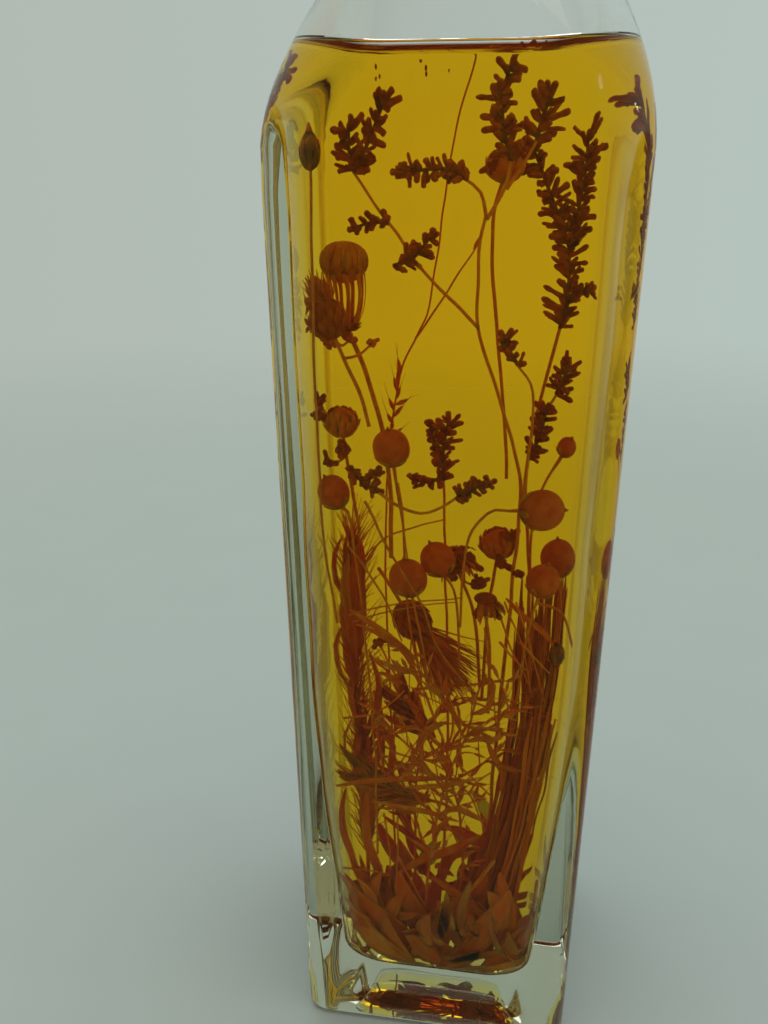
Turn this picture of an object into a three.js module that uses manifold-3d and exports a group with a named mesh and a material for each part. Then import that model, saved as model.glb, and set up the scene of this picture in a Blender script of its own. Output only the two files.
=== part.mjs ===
// A tall square glass bottle of infused oil, with dried flowers and grasses in it, closed by a cork.
// Millimetres, +Z up. The origin is the middle of the plane the base rests on, and the front faces -Y.
import * as THREE from "three";
import { mergeVertices } from "three/addons/utils/BufferGeometryUtils.js";
import Module from "manifold-3d";

const wasm = await Module();
wasm.setup();

// Driving dimensions of the glass
const BODY_WIDTH = 66; // across the flats, where the shoulder begins
const BASE_WIDTH = 59.6; // across the flats at the foot
const SHOULDER_Z = 192; // where the straight sides end
const CORNER = 5; // radius of the upright outer corners
const WALL = 3.8; // glass thickness of the sides
const HEEL_WALL = 6; // extra thickness that the sides gain towards the base
const HEEL_Z = 90; // below this the sides begin to thicken
const FLOOR_Z = 11; // top of the heavy glass base
const FLOOR_ROUND = 6; // radius between the cavity's floor and its sides
const INNER_CORNER = 8; // radius of the cavity's upright corners
const FOOT_ROUND = 1.8; // radius of the foot's outer edge
const PUNT_DEPTH = 1.6; // recess under the base
const PUNT_HALF = 20; // half width of that recess
const SHOULDER_R = 56; // convex arc of the shoulder
const NECK_SWEEP_R = 18; // concave arc from shoulder to neck
const NECK_R = 14;
const BORE_R = 9.6;
const LIP_R = 16.6; // the finish ring round the mouth
const LIP_Z = 268; // underside of that ring
const TOP_Z = 283; // rim of the mouth
const RIM_INNER_R = 11.6; // the rim is flat from here outwards

// The filling and the closure
const OIL_Z = 205.2; // level of the oil
const GAP = 0.3; // clearance between touching solids
const CORK_FOOT_Z = 259;
const CORK_TOP_Z = 298;
const CORK_FOOT_R = 8.8;
const CORK_NECK_R = 9.2;
const CORK_HEAD_R = 11;

// Mesh fineness
const CORNER_STEPS = 6; // points on each quarter of a section
const STEM_SIDES = 4;
const THICK_R = 0.8; // rods from this radius up get one more side

const lerp = THREE.MathUtils.lerp;
const smooth = THREE.MathUtils.smoothstep;
const v3 = (p) => new THREE.Vector3(...p);

// ---------- solids ----------

// A closed three.js geometry as a manifold-3d solid.
function toSolid(geometry) {
  const bare = geometry.clone();
  bare.deleteAttribute("normal");
  bare.deleteAttribute("uv");
  const merged = mergeVertices(bare, 1e-4);
  return new wasm.Manifold(
    new wasm.Mesh({
      numProp: 3,
      vertProperties: new Float32Array(merged.attributes.position.array),
      triVerts: new Uint32Array(merged.index.array),
    }),
  );
}

function toGeometry(solid) {
  const mesh = solid.getMesh();
  const geometry = new THREE.BufferGeometry();
  geometry.setAttribute("position", new THREE.BufferAttribute(mesh.vertProperties, 3));
  geometry.setIndex(new THREE.BufferAttribute(mesh.triVerts, 1));
  return geometry.toNonIndexed();
}

const joined = (solids) => solids.reduce((sum, solid) => sum.add(solid));

// The biggest separate body of a solid, without the crumbs that a cut leaves.
function mainBody(solid) {
  return solid.decompose().reduce((best, body) => (body.volume() > best.volume() ? body : best));
}

// One level section: a square with round corners, and a circle where corner equals half.
function section({ z, half, corner }) {
  const points = [];
  for (let i = 0; i < 4 * CORNER_STEPS; i++) {
    const angle = ((i + 0.5) / CORNER_STEPS) * (Math.PI / 2);
    const flat = half - Math.min(corner, half);
    const across = Math.sign(Math.cos(angle)) * flat;
    const along = Math.sign(Math.sin(angle)) * flat;
    points.push([
      across + (half - flat) * Math.cos(angle),
      along + (half - flat) * Math.sin(angle),
      z,
    ]);
  }
  return points;
}

// A closed skin through a list of sections, with a flat cap on the first and the last.
function loft(sections) {
  const rings = sections.map(section);
  const count = rings[0].length;
  const positions = rings.flat(2);
  const capStart = positions.length / 3;
  for (const { z } of [sections[0], sections.at(-1)]) positions.push(0, 0, z);
  const faces = [];
  for (let i = 0; i < count; i++) {
    const next = (i + 1) % count;
    for (let k = 0; k + 1 < rings.length; k++) {
      const [a, b] = [k * count + i, k * count + next];
      faces.push(a, b, b + count, a, b + count, a + count);
    }
    const last = (rings.length - 1) * count;
    faces.push(capStart, next, i, capStart + 1, last + i, last + next);
  }
  const geometry = new THREE.BufferGeometry();
  geometry.setAttribute("position", new THREE.Float32BufferAttribute(positions, 3));
  geometry.setIndex(faces);
  return geometry;
}

// ---------- the glass ----------

const outerHalf = (z) => lerp(BASE_WIDTH, BODY_WIDTH, z / SHOULDER_Z) / 2;

function innerHalf(z) {
  const heel = Math.max(0, 1 - z / HEEL_Z) ** 1.5;
  return outerHalf(z) - WALL - HEEL_WALL * heel;
}

// Sections of an S-shaped shoulder from a square of half width `from` to a round of radius `to`.
function shoulder(from, to, corner, convex, concave, steps) {
  const turn = Math.acos(1 - (from - to) / (convex + concave));
  const sections = [];
  for (let i = 0; i <= steps; i++) {
    const angle = (turn * i) / steps;
    sections.push({ z: SHOULDER_Z + convex * Math.sin(angle), half: from - convex * (1 - Math.cos(angle)) });
  }
  const end = SHOULDER_Z + (convex + concave) * Math.sin(turn);
  for (let i = steps / 2 - 1; i >= 0; i--) {
    const angle = (turn * i) / (steps / 2);
    sections.push({ z: end - concave * Math.sin(angle), half: to + concave * (1 - Math.cos(angle)) });
  }
  for (const s of sections) {
    s.corner = lerp(corner, s.half, smooth(s.z, SHOULDER_Z - 4, end - 14));
  }
  return sections;
}

const outerShoulder = shoulder(BODY_WIDTH / 2, NECK_R, CORNER, SHOULDER_R, NECK_SWEEP_R, 8);
const innerShoulder = shoulder(
  innerHalf(SHOULDER_Z), BORE_R, INNER_CORNER, SHOULDER_R - WALL, NECK_SWEEP_R + WALL, 8,
);
const round = (z, radius) => ({ z, half: radius, corner: radius });

// The cavity from its rounded floor up to height `top`, shrunk by `gap` all round.
function cavity(top, gap) {
  const sections = [];
  for (const turn of [0.12, 0.4, 0.7, 1]) {
    const angle = (turn * Math.PI) / 2;
    const z = FLOOR_Z + gap + FLOOR_ROUND * (1 - Math.cos(angle));
    const half = innerHalf(z) - gap - FLOOR_ROUND * (1 - Math.sin(angle));
    sections.push({ z, half, corner: INNER_CORNER });
  }
  for (const z of [35, 60, 90]) sections.push({ z, half: innerHalf(z) - gap, corner: INNER_CORNER });
  for (const s of innerShoulder) {
    if (s.z < top) sections.push({ ...s, half: s.half - gap });
  }
  return sections;
}

function bottle() {
  const foot = [];
  for (const turn of [0, 0.5, 1]) {
    const angle = (turn * Math.PI) / 2;
    const z = FOOT_ROUND * (1 - Math.cos(angle));
    foot.push({ z, half: outerHalf(z) - FOOT_ROUND * (1 - Math.sin(angle)), corner: CORNER });
  }
  const outside = [
    ...foot,
    ...outerShoulder,
    round(262, NECK_R - 0.3),
    round(LIP_Z - 1.5, NECK_R),
    round(LIP_Z, LIP_R - 0.8),
    round(LIP_Z + 1.2, LIP_R),
    round(TOP_Z - 2.2, LIP_R),
    round(TOP_Z - 0.6, LIP_R - 0.7),
    round(TOP_Z, LIP_R - 1.8),
  ];
  const inside = [
    ...cavity(TOP_Z, 0),
    round(262, BORE_R),
    round(TOP_Z - 2.4, BORE_R + 0.3),
    round(TOP_Z, RIM_INNER_R),
    round(TOP_Z + 1, RIM_INNER_R),
  ];
  const punt = [
    { z: -1, half: PUNT_HALF, corner: CORNER },
    { z: 0, half: PUNT_HALF, corner: CORNER },
    { z: PUNT_DEPTH, half: PUNT_HALF - 5, corner: CORNER },
  ];
  return toSolid(loft(outside)).subtract(toSolid(loft(inside))).subtract(toSolid(loft(punt)));
}

function cork() {
  return toSolid(
    loft([
      round(CORK_FOOT_Z, CORK_FOOT_R - 0.5),
      round(CORK_FOOT_Z + 0.6, CORK_FOOT_R),
      round(TOP_Z - 2, CORK_NECK_R),
      round(TOP_Z + 1, CORK_NECK_R + 0.7),
      round(TOP_Z + 6, CORK_HEAD_R - 0.5),
      round(CORK_TOP_Z - 0.8, CORK_HEAD_R),
      round(CORK_TOP_Z, CORK_HEAD_R - 0.8),
    ]),
  );
}

// ---------- the plants ----------

// A rod through the points of `via`. `grow` makes it thicker and longer, for the pocket it fills in the oil.
function rod({ r, via }, grow = 0) {
  const points = via.map(v3);
  const lead = points[0].clone().sub(points[1]).setLength(grow);
  const tail = points.at(-1).clone().sub(points.at(-2)).setLength(grow);
  points[0].add(lead);
  points.at(-1).add(tail);
  const sides = STEM_SIDES + (r >= THICK_R ? 1 : 0);
  const outline = [];
  for (let i = 0; i < sides; i++) {
    const angle = (2 * Math.PI * i) / sides;
    outline.push(new THREE.Vector2(Math.cos(angle), Math.sin(angle)).multiplyScalar(r + grow));
  }
  const extrudePath = new THREE.CatmullRomCurve3(points);
  extrudePath.getUtoTmapping = (u) => u; // so that a ring of the rod sits on each given point
  const steps = points.length - 1;
  return toSolid(new THREE.ExtrudeGeometry(new THREE.Shape(outline), { steps, extrudePath }));
}

// An egg of the given radii round `at`, its third radius along `axis`.
function egg({ at, radii, axis = [0, 0, 1] }, grow = 0) {
  const geometry = new THREE.SphereGeometry(1, 7, 5).rotateX(Math.PI / 2);
  geometry.scale(...radii.map((radius) => radius + grow));
  const turn = new THREE.Quaternion().setFromUnitVectors(new THREE.Vector3(0, 0, 1), v3(axis).normalize());
  return toSolid(geometry.applyQuaternion(turn).translate(...at));
}

function plantSolid({ stems = [], eggs = [] }, grow = 0) {
  return joined([...stems.map((s) => rod(s, grow)), ...eggs.map((e) => egg(e, grow))]);
}

// A hair-thin way from a plant's foot to the glass, so that the pocket the plant fills in the oil is open.
function vent({ stems, eggs, vent: way = [0, 0, -1] }) {
  const start = v3(stems ? stems[0].via[0] : eggs[0].at);
  const length = 60;
  const geometry = new THREE.BoxGeometry(0.8, 0.8, length).translate(0, 0, length / 2 - 0.3);
  const turn = new THREE.Quaternion().setFromUnitVectors(new THREE.Vector3(0, 0, 1), v3(way));
  return toSolid(geometry.applyQuaternion(turn).translate(start.x, start.y, start.z));
}

const FRONT = [0, -1, 0];
const BACK = [0, 1, 0];
const LEFT = [-1, 0, 0];
const RIGHT = [1, 0, 0];

// A flax boll on its stalk. The stalk's points run up from its foot.
const boll = (at, r, via, way) => ({
  look: "boll", stems: [{ r: 0.45, via: [...via, at] }], eggs: [{ at, radii: [r, r, r * 1.05] }], vent: way,
});

// Withered petals in a heap, as one flat egg.
const petals = (at, radii, axis, way) => ({ look: "leaf", eggs: [{ at, radii, axis }], vent: way });

// Each plant's stems run up from its foot. Thick rods stand for the florets round a twig.
const PLANTS = {
  statice_spray_tall: {
    look: "statice",
    stems: [
      { r: 0.6, via: [[10, 2, 11.9], [11, 0, 60], [13.6, -3, 115], [13.8, -5, 128], [12.4, -7, 136],
        [8.7, -8, 147], [4.6, -8, 160], [4.1, -8, 172], [5.2, -8, 180]] },
      { r: 0.5, via: [[5.2, -8, 179.5], [4.2, -8.5, 184], [1.4, -9, 186.4]] },
      { r: 1.5, via: [[1.6, -9, 186.3], [-2.5, -9, 188], [-10.3, -9, 187.4]] },
      { r: 0.5, via: [[5.2, -8, 179.5], [8.4, -8, 185], [9.3, -8, 190]] },
      { r: 1.9, via: [[9.3, -8, 189.5], [7.2, -7.5, 198], [8.7, -7, 203.2]] },
      { r: 0.5, via: [[8.4, -8, 184.8], [11.4, -7, 189], [13.8, -6.4, 193]] },
      { r: 2.4, via: [[13.6, -6.4, 192.6], [14.4, -6, 196], [15.4, -6, 199]] },
      { r: 0.5, via: [[4.6, -8, 160], [-2.8, -6, 166.8], [-8, -3, 172], [-14, 3, 178.5], [-21, 8, 187.3]] },
      { r: 2.1, via: [[-20.8, 8, 187], [-21.8, 8.4, 190.5], [-22, 8.6, 194.5]] },
      { r: 1.5, via: [[-20.8, 8, 187], [-18.5, 7, 191.5], [-14.6, 6, 198.5]] },
      { r: 1.5, via: [[-12, -5, 171], [-8.4, -4, 172.4], [-5, -5.5, 176.3]] },
      { r: 1.3, via: [[-13.6, 2.8, 178.2], [-17, 3.4, 178.4], [-20.5, 4, 177.2]] },
      { r: 0.45, via: [[13.7, -4, 121], [15.6, -9, 146], [12, -10, 154]] },
      { r: 1.2, via: [[12.3, -10, 153.4], [11, -10, 155.6], [9.6, -10, 158.2]] },
    ],
  },
  statice_spray_right: {
    look: "statice",
    stems: [
      { r: 0.6, via: [[17, 8, 11.9], [17, 9, 60], [16.5, 8, 105], [14.5, 7, 126], [16, 5, 140], [18, 4, 151],
        [20, 4, 160]] },
      { r: 2.2, via: [[19.8, 4, 159], [21, 4, 166.5], [20.6, 4, 174], [21.7, 4, 180], [22.8, 4, 187],
        [23, 4, 193]] },
      { r: 1.8, via: [[20.6, 4, 174], [17.8, 3.4, 181], [14.6, 3, 188], [12.6, 3, 192]] },
      { r: 1.5, via: [[21, 4, 165], [23.6, 3, 166.4], [25.6, 2, 167]] },
      { r: 0.45, via: [[16, 5, 139], [18.6, 2, 144], [20, 1, 147]] },
      { r: 1.8, via: [[19.8, 1, 146.6], [21, 0.4, 149.5], [22, 0, 152.6]] },
      { r: 1.5, via: [[15, 6, 132], [17, 3.4, 137.5], [18.3, 2, 143.5]] },
    ],
  },
  statice_sprig_back: {
    look: "statice",
    stems: [
      { r: 0.5, via: [[-1, 10, 11.9], [0, 10, 60], [-2, 9, 115], [-2.4, 8, 127]] },
      { r: 1.7, via: [[-2.4, 8, 126], [-2.6, 8, 133], [-1.8, 8, 139]] },
      { r: 1.1, via: [[-2.6, 8, 129], [-4.4, 8, 133], [-5.4, 8, 138]] },
      { r: 1.2, via: [[-2.4, 8, 127], [-5.5, 7, 125.6], [-8.6, 6, 126.6]] },
    ],
  },
  statice_sprig_front: {
    look: "statice",
    stems: [
      { r: 1.4, via: [[-19, -17, 133.6], [-17.2, -17, 131], [-14, -17.4, 129]] },
      { r: 0.5, via: [[-14.4, -17.4, 129.2], [-10, -18, 126.6], [-5, -18.4, 125], [-1, -18.5, 126.4],
        [2.2, -18.8, 128.8]] },
      { r: 1.4, via: [[1.8, -18.8, 128.5], [4, -19, 130], [6.4, -19.3, 131.4]] },
    ],
    vent: FRONT,
  },
  grass_stalk_long: {
    look: "grass",
    stems: [
      { r: 0.4, via: [[-12, 15, 11.9], [-14, 15, 70], [-15.5, 15, 110], [-13.3, 14, 143], [-9.3, 13, 155.5],
        [-6.6, 12, 162], [-4.7, 12, 175], [-2.4, 12, 192.3], [1.5, 11, 203.6]] },
      { r: 1.2, via: [[-14.4, 14.6, 134], [-13.4, 13.8, 141], [-12.2, 13, 148]] },
      { r: 0.35, via: [[-9.3, 13, 155.3], [-3.6, 10, 163.5], [2.5, 6, 173]] },
    ],
  },
  flax_boll_1: boll([-11, -17, 137.5], 3.7,
    [[-5, -11, 86], [-7, -11, 95], [-8.5, -10.5, 108], [-9, -14, 122]], FRONT),
  flax_boll_2: boll([-23, -14.5, 127.3], 3.5,
    [[-14, -13, 40], [-15, -12, 70], [-17.5, -12, 100], [-19.5, -14, 121]], FRONT),
  flax_boll_3: boll([-7.6, -15.5, 110], 4, [[-3, -14, 85], [-5.5, -15, 100]], FRONT),
  flax_boll_4: boll([-2, -10, 113], 3.7, [[3, -11, 90], [2, -11, 105]], FRONT),
  flax_boll_5: boll([18.3, -19, 127], 4.2,
    [[3, -16, 100], [4, -16, 118], [8, -17, 125.5], [12, -18, 126.3]], FRONT),
  flax_boll_6: boll([22.5, -6, 113.8], 4, [[23, -6, 80], [24, -6, 100]], RIGHT),
  flax_boll_7: boll([19.4, -14.5, 111], 3.5, [[15, -14, 80], [17, -14, 100]], FRONT),
  flax_boll_8: boll([22.8, 0, 136], 2.1, [[17, 1, 90], [16.5, 0, 120], [18.4, -1, 128]], BACK),
  long_bud: {
    look: "boll",
    stems: [{ r: 0.4, via: [[-22, -19.5, 100], [-24.5, -20, 120], [-25.4, -20, 150], [-25.3, -20, 190]] }],
    eggs: [{ at: [-25.3, -20, 191], radii: [1.9, 1.9, 3.2] }],
    vent: FRONT,
  },
  dome_flower: {
    look: "flower",
    stems: [
      { r: 0.5, via: [[-12, -7, 112], [-12, -9, 128], [-14, -8, 141], [-17, -7, 150], [-20.6, -6.5, 159]] },
      { r: 2.6, via: [[-20.6, -6.5, 158.5], [-21.2, -6.5, 170]] },
    ],
    eggs: [{ at: [-21.3, -6.5, 171.5], radii: [4.7, 4.7, 3.9] }],
    vent: LEFT,
  },
  knapweed_left: {
    look: "knapweed",
    stems: [{ r: 0.5, via: [[-15.5, -16, 141.5], [-17, -15.4, 147], [-19.6, -15, 153], [-23, -14.5, 160]] }],
    eggs: [{ at: [-23.5, -14.5, 161.5], radii: [4, 4, 4.4] }],
    vent: FRONT,
  },
  everlasting_left: {
    look: "flower",
    stems: [{ r: 0.45, via: [[-18.5, -8.5, 118], [-20, -10, 130], [-21.3, -13, 140]] }],
    eggs: [{ at: [-21.3, -13, 141.5], radii: [4, 4, 3.8] }],
    vent: LEFT,
  },
  everlasting_top: {
    look: "flower",
    stems: [{ r: 0.45, via: [[10.5, 4, 128], [10, 2, 140], [7.5, 2, 160], [6, 1, 178], [8, 1, 187]] }],
    eggs: [{ at: [8, 1, 188.5], radii: [4.2, 4, 3.6] }],
    vent: BACK,
  },
  daisy_dark: {
    look: "flower",
    stems: [{ r: 0.45, via: [[7, 2, 80], [6.5, 2, 88], [5, 1, 99], [1.5, -1, 109]] }],
    eggs: [{ at: [1.5, -1, 110.5], radii: [5, 3, 4.2] }],
    vent: BACK,
  },
  everlasting_mid: {
    look: "flower",
    stems: [{ r: 0.45, via: [[7.5, 6, 76], [8, 5, 96], [9.6, 2.8, 112]] }],
    eggs: [{ at: [9.6, 2.5, 114], radii: [4.3, 3.6, 4.3] }],
    vent: BACK,
  },
  daisy_drooping: {
    look: "flower",
    stems: [{ r: 0.45, via: [[9.5, -9, 78], [9, -10, 94], [8, -11, 102]] }],
    eggs: [{ at: [8, -11, 104], radii: [4.3, 3.4, 3.6] }],
    vent: FRONT,
  },
  knapweed_low: {
    look: "knapweed",
    stems: [{ r: 0.5, via: [[-15, -2, 108], [-12.5, -4, 105], [-9, -4, 99]] }],
    eggs: [
      { at: [-7.6, -3.8, 97], radii: [4.2, 4.2, 5.4], axis: [0.53, 0.1, -0.84] },
      { at: [-2, -2.8, 88], radii: [4.6, 4.6, 6], axis: [0.53, 0.1, -0.84] },
    ],
    vent: LEFT,
  },
  straw_bundle_back: {
    look: "straw",
    stems: [{ r: 1.9, via: [[13, 6, 22], [19.5, 5, 50], [23, 4, 80], [23.4, 3, 104]] }],
    vent: RIGHT,
  },
  straw_bundle_mid: {
    look: "straw",
    stems: [{ r: 1.7, via: [[11, -4, 22], [17, -3, 50], [20, -3, 75], [20.5, -2, 95]] }],
    vent: FRONT,
  },
  straw_bundle_front: {
    look: "straw",
    stems: [{ r: 1.6, via: [[15.5, -10, 25], [20, -9, 50], [22.6, -9, 74]] }],
    vent: FRONT,
  },
  dark_seed: { look: "boll", eggs: [{ at: [23.4, -11, 94], radii: [1.7, 1.7, 2.6] }], vent: RIGHT },
  hare_tail_grass: {
    look: "grass",
    stems: [
      { r: 0.6, via: [[-18, 8, 12.4], [-18.5, 8, 24], [-18.6, 8, 32]] },
      { r: 4.4, via: [[-18.6, 8, 30], [-19.4, 8, 50], [-21.4, 7.4, 80], [-22, 6.4, 112]] },
    ],
  },
  grass_panicle_front: {
    look: "grass",
    stems: [
      { r: 0.45, via: [[-3, -13, 11.9], [-2, -14, 40], [1, -15, 60], [5, -15.5, 74], [8, -16, 88]] },
      { r: 0.4, via: [[1, -15, 60], [-5, -16, 68], [-12, -16, 76]] },
      { r: 0.4, via: [[5, -15.5, 74], [0, -17, 84], [-6, -18, 92]] },
      { r: 0.4, via: [[5, -15.5, 74], [11, -17, 78], [14, -18, 84]] },
    ],
  },
  grass_panicle_mid: {
    look: "grass",
    stems: [
      { r: 0.45, via: [[4, -6, 11.9], [5, -7, 40], [2, -7, 58], [-4, -7, 70], [-8, -7, 80]] },
      { r: 0.4, via: [[2, -7, 58], [8, -7, 64], [13, -8, 70]] },
    ],
  },
  grass_panicle_back: {
    look: "grass",
    stems: [
      { r: 0.45, via: [[-6, 4, 11.9], [-7, 5, 45], [-5, 5, 65], [2, 6, 76]] },
      { r: 0.4, via: [[-7, 5, 45], [-11, 3, 56], [-13, 2, 68]] },
    ],
  },
  barley_ear_front: {
    look: "straw",
    stems: [{ r: 0.5, via: [[3, -2, 49], [0, -3, 51], [-3, -4, 52]] },
      { r: 1.8, via: [[-2.6, -4, 52], [-10, -5, 54], [-17, -6, 58]] }],
    vent: BACK,
  },
  barley_ear_back: {
    look: "straw", stems: [{ r: 1.7, via: [[-3, 12.5, 62], [-7, 12, 66], [-11, 11.5, 72]] }], vent: BACK,
  },
  everlasting_low: {
    look: "flower",
    stems: [{ r: 0.6, via: [[3, -18, 13], [4.5, -16.5, 18], [6, -15, 22]] }],
    eggs: [{ at: [6, -15, 26], radii: [7, 4.6, 6.4] }],
  },
  leaf_low_1: petals([-12, -16, 25], [7, 1.2, 10], [0.3, 0, 1], FRONT),
  leaf_low_2: petals([-11, -3, 25], [5, 1.2, 10.5], [-0.2, 0, 1], LEFT),
  leaf_low_3: petals([-3, 18, 27], [6, 1.2, 11], [0, 0, 1], BACK),
  leaf_low_4: petals([9.5, 17, 32], [5, 1.2, 13], [0.2, 0, 1], BACK),
  leaf_low_5: petals([4, -21, 25], [6, 1, 9], [0, 0, 1], FRONT),
  leaf_low_6: petals([16, -16.5, 27], [4, 1.2, 11], [0, 0, 1], FRONT),
  leaf_low_7: petals([6, 12, 27], [5, 1.2, 11], [-0.1, 0, 1], BACK),
  leaf_low_8: petals([-17.5, -9, 28], [4, 1.2, 11], [-0.1, 0, 1], LEFT),
};

function oil() {
  const full = loft([...cavity(OIL_Z, GAP), { ...oilTop(), z: OIL_Z }]);
  const pockets = Object.values(PLANTS).flatMap((plant) => [plantSolid(plant, GAP), vent(plant)]);
  return mainBody(toSolid(full).subtract(joined(pockets)));
}

// The cavity's section at the oil's level, found between the two shoulder sections on either side of it.
function oilTop() {
  const above = innerShoulder.findIndex((s) => s.z >= OIL_Z);
  const [low, high] = [innerShoulder[above - 1], innerShoulder[above]];
  const share = (OIL_Z - low.z) / (high.z - low.z);
  return { half: lerp(low.half, high.half, share) - GAP, corner: lerp(low.corner, high.corner, share) };
}

// ---------- the object ----------

const paint = (color, roughness, more = {}) =>
  new THREE.MeshStandardMaterial({ color, roughness, metalness: 0, ...more });
const LOOKS = {
  glass: paint(0xdfe9e2, 0.05, { transparent: true, opacity: 0.3 }),
  oil: paint(0xc28a0c, 0.1, { transparent: true, opacity: 0.6 }),
  cork: paint(0xb98a5c, 0.9),
  statice: paint(0x4a2308, 0.8),
  boll: paint(0x8c4310, 0.6),
  flower: paint(0x7d3d10, 0.8),
  knapweed: paint(0x3b2010, 0.85),
  grass: paint(0x9a6420, 0.8),
  straw: paint(0x8a5218, 0.75),
  leaf: paint(0x8a4f1a, 0.8),
};

const object = new THREE.Group();

function addNode(name, solid, look) {
  const mesh = new THREE.Mesh(toGeometry(solid), LOOKS[look]);
  mesh.name = name;
  object.add(mesh);
}

addNode("glass_bottle", bottle(), "glass");
addNode("oil", oil(), "oil");
addNode("cork_stopper", cork(), "cork");
for (const [name, plant] of Object.entries(PLANTS)) addNode(name, plantSolid(plant), plant.look);

export default object;
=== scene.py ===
"""A square glass bottle of infused oil with dried flowers and grasses in it."""
import math
import random

import bpy
import numpy as np
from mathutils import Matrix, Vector, noise


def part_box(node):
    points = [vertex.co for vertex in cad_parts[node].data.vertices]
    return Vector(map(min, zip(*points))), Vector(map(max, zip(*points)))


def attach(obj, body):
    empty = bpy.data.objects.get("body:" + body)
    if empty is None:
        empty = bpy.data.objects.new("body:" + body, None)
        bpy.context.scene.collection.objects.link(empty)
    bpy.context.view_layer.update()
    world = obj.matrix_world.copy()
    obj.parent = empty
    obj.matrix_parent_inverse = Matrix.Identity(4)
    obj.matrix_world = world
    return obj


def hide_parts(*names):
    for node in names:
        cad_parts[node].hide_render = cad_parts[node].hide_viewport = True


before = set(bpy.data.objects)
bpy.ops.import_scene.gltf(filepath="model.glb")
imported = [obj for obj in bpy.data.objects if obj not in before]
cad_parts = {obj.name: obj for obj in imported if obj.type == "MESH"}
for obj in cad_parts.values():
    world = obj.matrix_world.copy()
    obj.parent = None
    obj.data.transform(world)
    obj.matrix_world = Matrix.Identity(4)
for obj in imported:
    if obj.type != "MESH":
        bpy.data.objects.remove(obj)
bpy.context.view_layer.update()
scene = bpy.context.scene

MM = 0.001
GOLDEN = math.pi * (3 - math.sqrt(5))
UP = Vector((0, 0, 1))
FRONT = Vector((0, -1, 0))
SIDEWAYS = Vector((1, 0, 0))


def box_mm(node):
    """The lowest and highest corners of a CAD node, in millimetres."""
    low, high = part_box(node)
    return Vector(low) / MM, Vector(high) / MM


# ---------- the bottle's measures, in millimetres ----------

BODY_HALF = box_mm("glass_bottle")[1].x
TOP_Z = box_mm("glass_bottle")[1].z
OIL_Z = box_mm("oil")[1].z
CORK_LOW, CORK_HIGH = box_mm("cork_stopper")
BASE_HALF = BODY_HALF * 0.903
SHOULDER_Z = 192
CORNER = 5
WALL = 3.8
HEEL_WALL = 6
HEEL_Z = 90
FLOOR_Z = 11
FLOOR_ROUND = 6
INNER_CORNER = 8
FOOT_ROUND = 1.8
PUNT_DEPTH = 1.6
SHOULDER_R = 56
NECK_SWEEP_R = 18
NECK_R = 14
BORE_R = 9.6
LIP_R = 16.6
LIP_Z = 268
RIM_INNER_R = 11.6
MENISCUS_HIGH = 2.4  # how far the oil climbs the glass
MENISCUS_WIDE = 3.4  # over what distance from the glass it does
OVERLAP = 0.08  # the oil's skin lies this far inside the glass, so that no air shows between them
CLEAR_OF_GLASS = 0.5  # the plants stay this far inside the cavity

# ---------- meshes ----------


class Shape:
    """Gathers lofted parts into the mesh of one piece, in millimetres."""

    def __init__(self):
        self.points = []
        self.faces = []
        self.slots = []

    def loft(self, rings, slot=0):
        """A closed skin through rings of equal size, with a flat end on the first and the last."""
        start = len(self.points)
        size = len(rings[0])
        for ring in rings:
            self.points.extend(ring)
        for k in range(len(rings) - 1):
            low = start + k * size
            for i in range(size):
                j = (i + 1) % size
                self.faces.append((low + i, low + j, low + size + j, low + size + i))
        last = start + (len(rings) - 1) * size
        self.faces.append(tuple(range(start + size - 1, start - 1, -1)))
        self.faces.append(tuple(range(last, last + size)))
        self.slots += [slot] * (len(self.faces) - len(self.slots))

    def make(self, name, materials, body="bottle", node=None):
        mesh = bpy.data.meshes.new(name)
        mesh.from_pydata([tuple(p * MM) for p in self.points], [], self.faces)
        for material in materials:
            mesh.materials.append(material)
        mesh.polygons.foreach_set("material_index", self.slots)
        mesh.polygons.foreach_set("use_smooth", [True] * len(self.faces))
        mesh.validate()
        piece = bpy.data.objects.new(name, mesh)
        scene.collection.objects.link(piece)
        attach(piece, body)
        if node:
            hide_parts(node)
        return piece


def route(via, spacing=1.5, stray=0.0, seed=0):
    """A smooth line through the points of `via`, with a small stray from it like a dried twig's."""
    via = [Vector(p) for p in via]
    ends = [via[0] * 2 - via[1], *via, via[-1] * 2 - via[-2]]
    line = []
    for a, b, c, d in zip(ends, ends[1:], ends[2:], ends[3:]):
        count = max(1, round((c - b).length / spacing))
        for i in range(count):
            t = i / count
            curve = (2 * a - 5 * b + 4 * c - d) * t**2 + (3 * b - a - 3 * c + d) * t**3
            line.append(0.5 * (2 * b + (c - a) * t + curve))
    line.append(via[-1])
    if stray:
        shift = Vector((seed * 7.3, seed * 3.1, 0))
        line = [p + stray * Vector(noise.noise_vector(p * 0.12 + shift)) for p in line]
    return line


def frames(points):
    """A tangent, a normal and a binormal at each point, which turn as little as they can."""
    result = []
    normal = None
    for i, point in enumerate(points):
        tangent = (points[min(i + 1, len(points) - 1)] - points[max(i - 1, 0)]).normalized()
        if normal is None:
            normal = tangent.orthogonal().normalized()
        normal = (normal - tangent * normal.dot(tangent)).normalized()
        result.append((tangent, normal, tangent.cross(normal)))
    return result


def compass(turn):
    """The level direction at an angle round the bottle's axis."""
    return Vector((math.cos(turn), math.sin(turn), 0))


def ring_round(centre, r, side, other, count):
    turns = [2 * math.pi * k / count for k in range(count)]
    return [centre + r * (math.cos(a) * side + math.sin(a) * other) for a in turns]


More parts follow.
